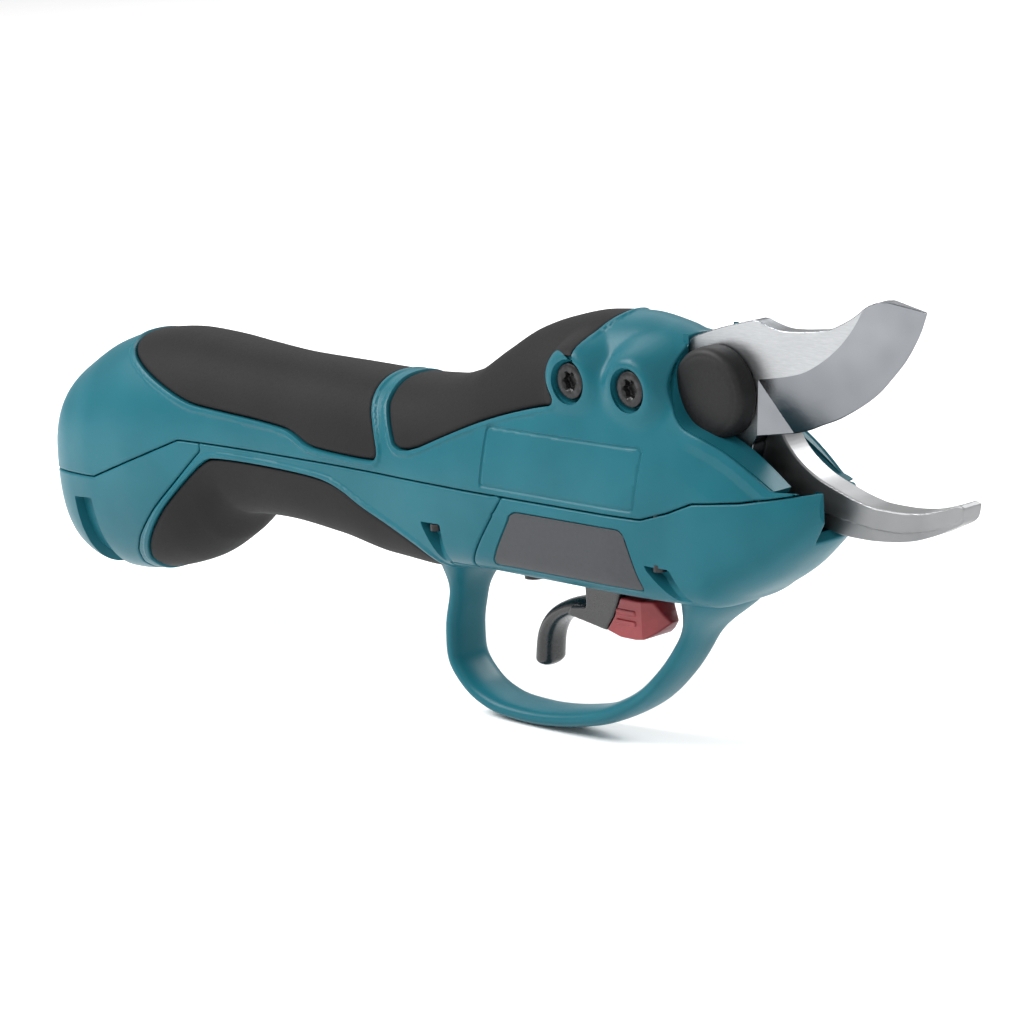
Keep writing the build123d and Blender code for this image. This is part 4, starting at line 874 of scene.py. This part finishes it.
tail = from_pivot([(fork_right, -24.0), (fork_right, fork_end + 1.0), (fork_right - 1.0, fork_end),
                   (fork_left + 1.0, fork_end), (fork_left, fork_end + 1.0), (fork_left, -20.0),
                   (-9.0, -10.7)])
blade_outline = np.vstack([eye[:-1], spine, spine_back[1:], tip, cutting_edge, heel, tail])
facet = from_pivot([(10.9, 3.5), (9.8, -9.2), (17.5, -8.4)])
bevel_region = np.vstack([bevel_line, from_pivot([(62.0, 26.0), (62.0, 12.0), (46.0, -6.0),
                                                  (20.0, -14.0), (9.8, -12.0)]), facet[1:2]])
corner_a, corner_b, corner_c = facet
facet_normal = np.array([corner_a[1] - corner_b[1], corner_b[0] - corner_a[0]])
facet_run = (corner_c - corner_a) @ facet_normal


def bevel_share(x, z):
    """How far a point is down the bevel: 0 at the bevel line, 1 at the cutting edge."""
    from_line, from_edge = split_distance(x, z, bevel_line), split_distance(x, z, cutting_edge)
    ruled = from_line / (from_line + from_edge + 1e-6)
    facet_share = ((x - corner_a[0]) * facet_normal[0]
                   + (z - corner_a[1]) * facet_normal[1]) / facet_run
    share = np.minimum(ruled, np.clip(facet_share, 0, 1))
    return np.where(inside(bevel_region, x, z) > 0, share, 0.0)


def facet_crease(x, z):
    """Signed distance from the line between the facet and the long bevel."""
    run = corner_c - corner_a
    run = run / np.linalg.norm(run)
    return (x - corner_a[0]) * run[1] - (z - corner_a[1]) * run[0]


def below_bevel_line(x, z):
    """Distance past the bevel line, positive on the bevel."""
    return inside(bevel_region, x, z)


blade = plate("blade_plate", blade_outline,
              lambda x, z: blade_near + (blade_far - blade_near - edge_land) * bevel_share(x, z),
              lambda x, z: blade_far + 0 * x, 0.22,
              holes=[(pivot_x, pivot_z, 6.55), cam_slot],
              splits=[below_bevel_line, facet_crease], sharp=7.0)
steel, wire, shader = material("ground_steel", (0.40, 0.41, 0.43), 0.30, Metallic=1.0,
                               Anisotropic=0.35)
brushed = wire.noise(420.0, 4.0, 0.7, (1.0, 1.0, 14.0))
patches = wire.noise(60.0, 2.0)
facing = wire.node("SeparateXYZ", None, {0: wire.node("TexCoord", output=1)}, output=1)
level = wire.math("ABSOLUTE", facing).between(0.985, 0.998)
feed(wire, shader,
     Base_Color=level.blend(patches.between(0.3, 0.7).blend((0.18, 0.19, 0.205),
                                                            (0.245, 0.255, 0.27)),
                            brushed.between(0.3, 0.7).blend((0.34, 0.35, 0.36),
                                                            (0.44, 0.45, 0.46))),
     Roughness=0.17 + level * 0.12 + patches * 0.07 + brushed * 0.08,
     Normal=raised(wire, brushed, 0.000012))
blade.data.materials.append(steel)
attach(blade, "blade_swing")
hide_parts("blade")

# ---- hook ----
# The fixed counter-blade: a thicker forged plate with a stepped chamfer along its back and a blunt
# tip. It is clamped to the frame inside the head.
hook_near, hook_far = 0.1, 6.1
anvil = along(from_pivot([(12.0, -5.5), (13.6, -9.3), (16.0, -12.6), (19.6, -15.6), (23.9, -18.0),
                          (28.9, -19.8), (34.4, -21.5), (39.9, -22.5), (46.0, -22.6),
                          (52.1, -22.1), (57.6, -20.8), (63.0, -19.0)]), 60)
hook_back = along(from_pivot([(64.5, -19.5), (63.5, -22.7), (59.2, -25.1), (54.3, -27.2),
                              (48.2, -29.0), (42.0, -29.9), (35.8, -30.3), (30.2, -30.2),
                              (25.8, -29.6), (19.0, -27.6)]), 60)
tang = from_pivot([(12.0, -22.5), (10.0, -19.2), (0.0, -18.6), (-12.0, -13.0), (-25.0, -8.0),
                   (-25.0, 2.0), (-13.0, 6.0)])
turn = np.radians(np.linspace(155.0, 14.0, 40))
hook_eye = from_pivot(13.0 * np.stack([np.cos(turn), np.sin(turn)], 1))
step_line = along(from_pivot([(12.0, -20.3), (15.4, -22.2), (19.1, -23.9), (24.8, -25.1),
                              (31.0, -26.0), (37.2, -26.8), (43.4, -27.1), (49.5, -26.5),
                              (55.6, -25.1), (60.4, -23.5), (66.0, -20.6)]), 50)
under_step = np.vstack([step_line, from_pivot([(70.0, -34.0), (12.0, -34.0)])])
under_step_full = np.vstack([step_line - (0.0, 0.7), under_step[-2:]])


def hook_face(x, z):
    """The near face, 0.7 mm deeper below the step line and sloping on to the back's edge."""
    down = step(inside(under_step, x, z), 0.0, 0.5)
    slope = np.clip(inside(under_step, x, z) / 4.0, 0, 1)
    return hook_near + 0.55 * down + 0.5 * slope


hook = plate("hook_plate", np.vstack([anvil, hook_back, tang, hook_eye]), hook_face,
             lambda x, z: hook_far + 0 * x, 0.35, holes=[(pivot_x, pivot_z, 5.0),
                                                         (pivot_x - 17.5, 42.0, 2.0)],
             splits=[lambda x, z: inside(under_step, x, z),
                     lambda x, z: inside(under_step_full, x, z)], sharp=12.0)
forged, wire, shader = material("forged_steel", (0.28, 0.285, 0.29), 0.36, Metallic=1.0)
mill_scale = wire.noise(500.0, 5.0, 0.65)
drift = wire.noise(55.0, 2.0)
feed(wire, shader,
     Base_Color=drift.between(0.3, 0.7).blend((0.20, 0.204, 0.208), (0.26, 0.264, 0.268)),
     Roughness=0.30 + mill_scale * 0.16, Normal=raised(wire, mill_scale, 0.000015))
hook.data.materials.append(forged)
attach(hook, "root")
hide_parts("hook_blade")

# ---- pivot cap ----
# A black nylon moulding with a slightly domed face and a soft rim. It is pressed over the head of
# the pivot bolt and keeps sap out of the bearing.
cap = turned("cap_moulding", pivot_x, pivot_z, -1, [
    (0.0, 10.15, 0), (2.5, 10.13, 0), (5.0, 10.05, 0), (7.2, 9.9, 0), (8.5, 9.72, 0),
    (8.7, 9.62, 0), (8.95, 9.62, 0), (9.5, 9.4, 0), (10.0, 9.0, 0), (10.25, 8.5, 0),
    (10.35, 7.9, 0), (10.4, 7.0, 0), (10.4, 4.55, 0), (7.1, 4.55, 0), (7.1, 8.7, 0),
    (0.0, 8.7, 0)][::-1], segments=128)
black, wire, shader = material("black_moulding", (0.018, 0.018, 0.019), 0.5,
                               Specular_IOR_Level=0.2)
grain = wire.noise(1500.0, 3.0)
feed(wire, shader, Base_Color=grain.between(0.3, 0.7).blend((0.010, 0.010, 0.0105),
                                                            (0.014, 0.014, 0.0145)),
     Roughness=0.42 + grain * 0.16, Normal=raised(wire, grain, 0.00003))
cap.data.materials.append(black)
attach(cap, "root")
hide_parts("pivot_cap")

# ---- trigger ----
# Glossy black nylon: a block on the cross pin and a curved finger hook with a blunt round end. Its
# red lock sits ahead of it on a pin of its own.
trigger_x, trigger_z = 196.0, -2.0


def from_trigger(points):
    """Points given from the trigger's pin, as X-Z points of the tool."""
    return np.array(points, float) + (trigger_x, trigger_z)


finger_path = along(from_trigger([(-1.5, -13.0), (-6.0, -12.9), (-10.0, -13.0), (-15.5, -14.6),
                                  (-20.0, -17.6), (-22.6, -22.0), (-23.5, -27.4)]), 90, 3.0)
growth = np.linspace(0, 1, 90)
finger = swept("trigger_finger", finger_path, 2.0 + 0.2 * growth, 4.05 + 0.12 * growth, 2.3, 0.95)
block_half = 4.6
block_outline = rounded(from_trigger([(-6.0, 2.2), (9.2, 2.2), (9.2, -6.6), (5.4, -7.6),
                                      (4.6, -10.0), (3.0, -13.2), (0.3, -16.9), (-6.0, -15.9),
                                      (-12.5, -14.9), (-11.0, -12.6), (-6.0, -12.0)]), 0.4)
block = plate("trigger_block", block_outline, lambda x, z: -block_half + 0 * x,
              lambda x, z: block_half + 0 * x, 0.6, holes=[(trigger_x, trigger_z, 1.55)],
              pitch=0.35)
gloss, wire, shader = material("trigger_nylon", (0.010, 0.010, 0.011), 0.25, Coat_Weight=0.3,
                               Coat_Roughness=0.15)
haze = wire.noise(300.0, 3.0)
feed(wire, shader, Base_Color=haze.between(0.3, 0.7).blend((0.009, 0.009, 0.010),
                                                           (0.013, 0.013, 0.014)),
     Roughness=0.20 + haze * 0.14)
for piece in (finger, block):
    piece.data.materials.append(gloss)
    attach(piece, "trigger_lever")
    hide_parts("trigger")

lock_half, tongue_half, rib_height, prow_taper = 5.2, 1.8, 0.35, 3.6
prow_start, prow_end = trigger_x + 12.5, trigger_x + 18.7
lock_outline = rounded(from_trigger([(5.9, -8.2), (3.6, -12.9), (0.9, -16.6), (5.2, -17.7),
                                     (10.1, -17.7), (12.7, -17.3), (15.7, -15.5), (18.7, -13.1),
                                     (16.9, -11.0), (14.9, -8.2)]), 0.45)
ribs = [rounded(from_trigger([(4.4, top), (10.6, top), (10.6, top - 1.1), (4.4, top - 1.1)]), 0.3)
        for top in (-10.9, -13.3)]


def lock_side(x, z):
    """Half the lock's width: its flat side, the taper of its prow and two raised ribs."""
    taper = np.clip((x - prow_start) / (prow_end - prow_start), 0, 1)
    bar = np.maximum.reduce([step(inside(rib, x, z), -0.15, 0.1) for rib in ribs])
    return (lock_half - rib_height) - prow_taper * taper + rib_height * bar


lock = plate("lock_body", lock_outline, lambda x, z: -lock_side(x, z), lock_side, 0.5,
             pitch=0.25, splits=[lambda x, z: x - prow_start,
                                 lambda x, z: inside(ribs[0], x, z) + 0.15,
                                 lambda x, z: inside(ribs[1], x, z) + 0.15], sharp=20.0)
tongue = plate("lock_tongue", rounded(from_trigger([(5.0, -2.1), (9.2, -2.1), (9.2, -9.4),
                                                    (6.4, -9.4), (5.0, -6.0)]), 0.8),
               lambda x, z: -tongue_half + 0 * x, lambda x, z: tongue_half + 0 * x, 0.3,
               holes=[(trigger_x + 7.0, trigger_z - 4.5, 1.25)], pitch=0.3)
red, wire, shader = material("red_nylon", (0.25, 0.024, 0.029), 0.4)
haze = wire.noise(400.0, 3.0)
feed(wire, shader, Base_Color=haze.between(0.3, 0.7).blend((0.23, 0.021, 0.025),
                                                           (0.28, 0.028, 0.033)),
     Roughness=0.32 + haze * 0.14, Normal=raised(wire, wire.noise(2200.0, 2.0), 0.000015))
for piece in (lock, tongue):
    piece.data.materials.append(red)
    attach(piece, "lock_catch")
    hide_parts("lock_lever")

# ---- frame, drive and fixings carried over ----
# The alloy head frame, the motor, its planetary gears, the screw and nut, the board, pins and
# screws keep their exact shapes; each takes the finish of its own metal or moulding.


def finish(name, dark, light, rough, scale, depth, metallic=1.0, stretch=(1.0, 1.0, 1.0)):
    """A finish that drifts between two colours with a fine grain of the given depth."""
    made, wire, shader = material(name, light, rough, Metallic=metallic)
    grain = wire.noise(scale, 4.0, 0.6, stretch)
    drift = wire.noise(70.0, 2.0)
    feed(wire, shader, Base_Color=drift.between(0.3, 0.7).blend(dark, light),
         Roughness=(rough - 0.08) + grain * 0.16, Normal=raised(wire, grain, depth))
    return made


finishes = {
    "teal_shell": nylon, "grip_rubber": rubber, "black_plastic": black, "trigger_black": gloss,
    "lock_red": red, "label_grey": foil, "blade_steel": steel, "hook_steel": forged,
    "dark_steel": blacked,
    "frame_alloy": finish("cast_alloy", (0.34, 0.35, 0.36), (0.50, 0.51, 0.52), 0.45, 900.0,
                          0.00004),
    "bright_steel": finish("turned_steel", (0.52, 0.52, 0.53), (0.62, 0.62, 0.63), 0.24, 600.0,
                           0.00001, stretch=(10.0, 1.0, 1.0)),
    "bronze": finish("sintered_bronze", (0.42, 0.24, 0.09), (0.52, 0.31, 0.13), 0.42, 1200.0,
                     0.00002),
    "copper": finish("enamelled_wire", (0.45, 0.14, 0.05), (0.58, 0.21, 0.09), 0.3, 500.0,
                     0.00008, stretch=(1.0, 12.0, 12.0)),
    "contact_brass": finish("plated_brass", (0.60, 0.45, 0.18), (0.72, 0.56, 0.26), 0.22, 800.0,
                            0.00001),
    "board_green": finish("solder_mask", (0.010, 0.080, 0.035), (0.014, 0.11, 0.05), 0.35, 400.0,
                          0.00002, metallic=0.0),
}
for subpart in frame["record"]["subparts"]:
    node = frame["nodes"][subpart["node"]]
    node.data.materials.clear()
    node.data.materials.append(finishes[subpart["material_slot"]])
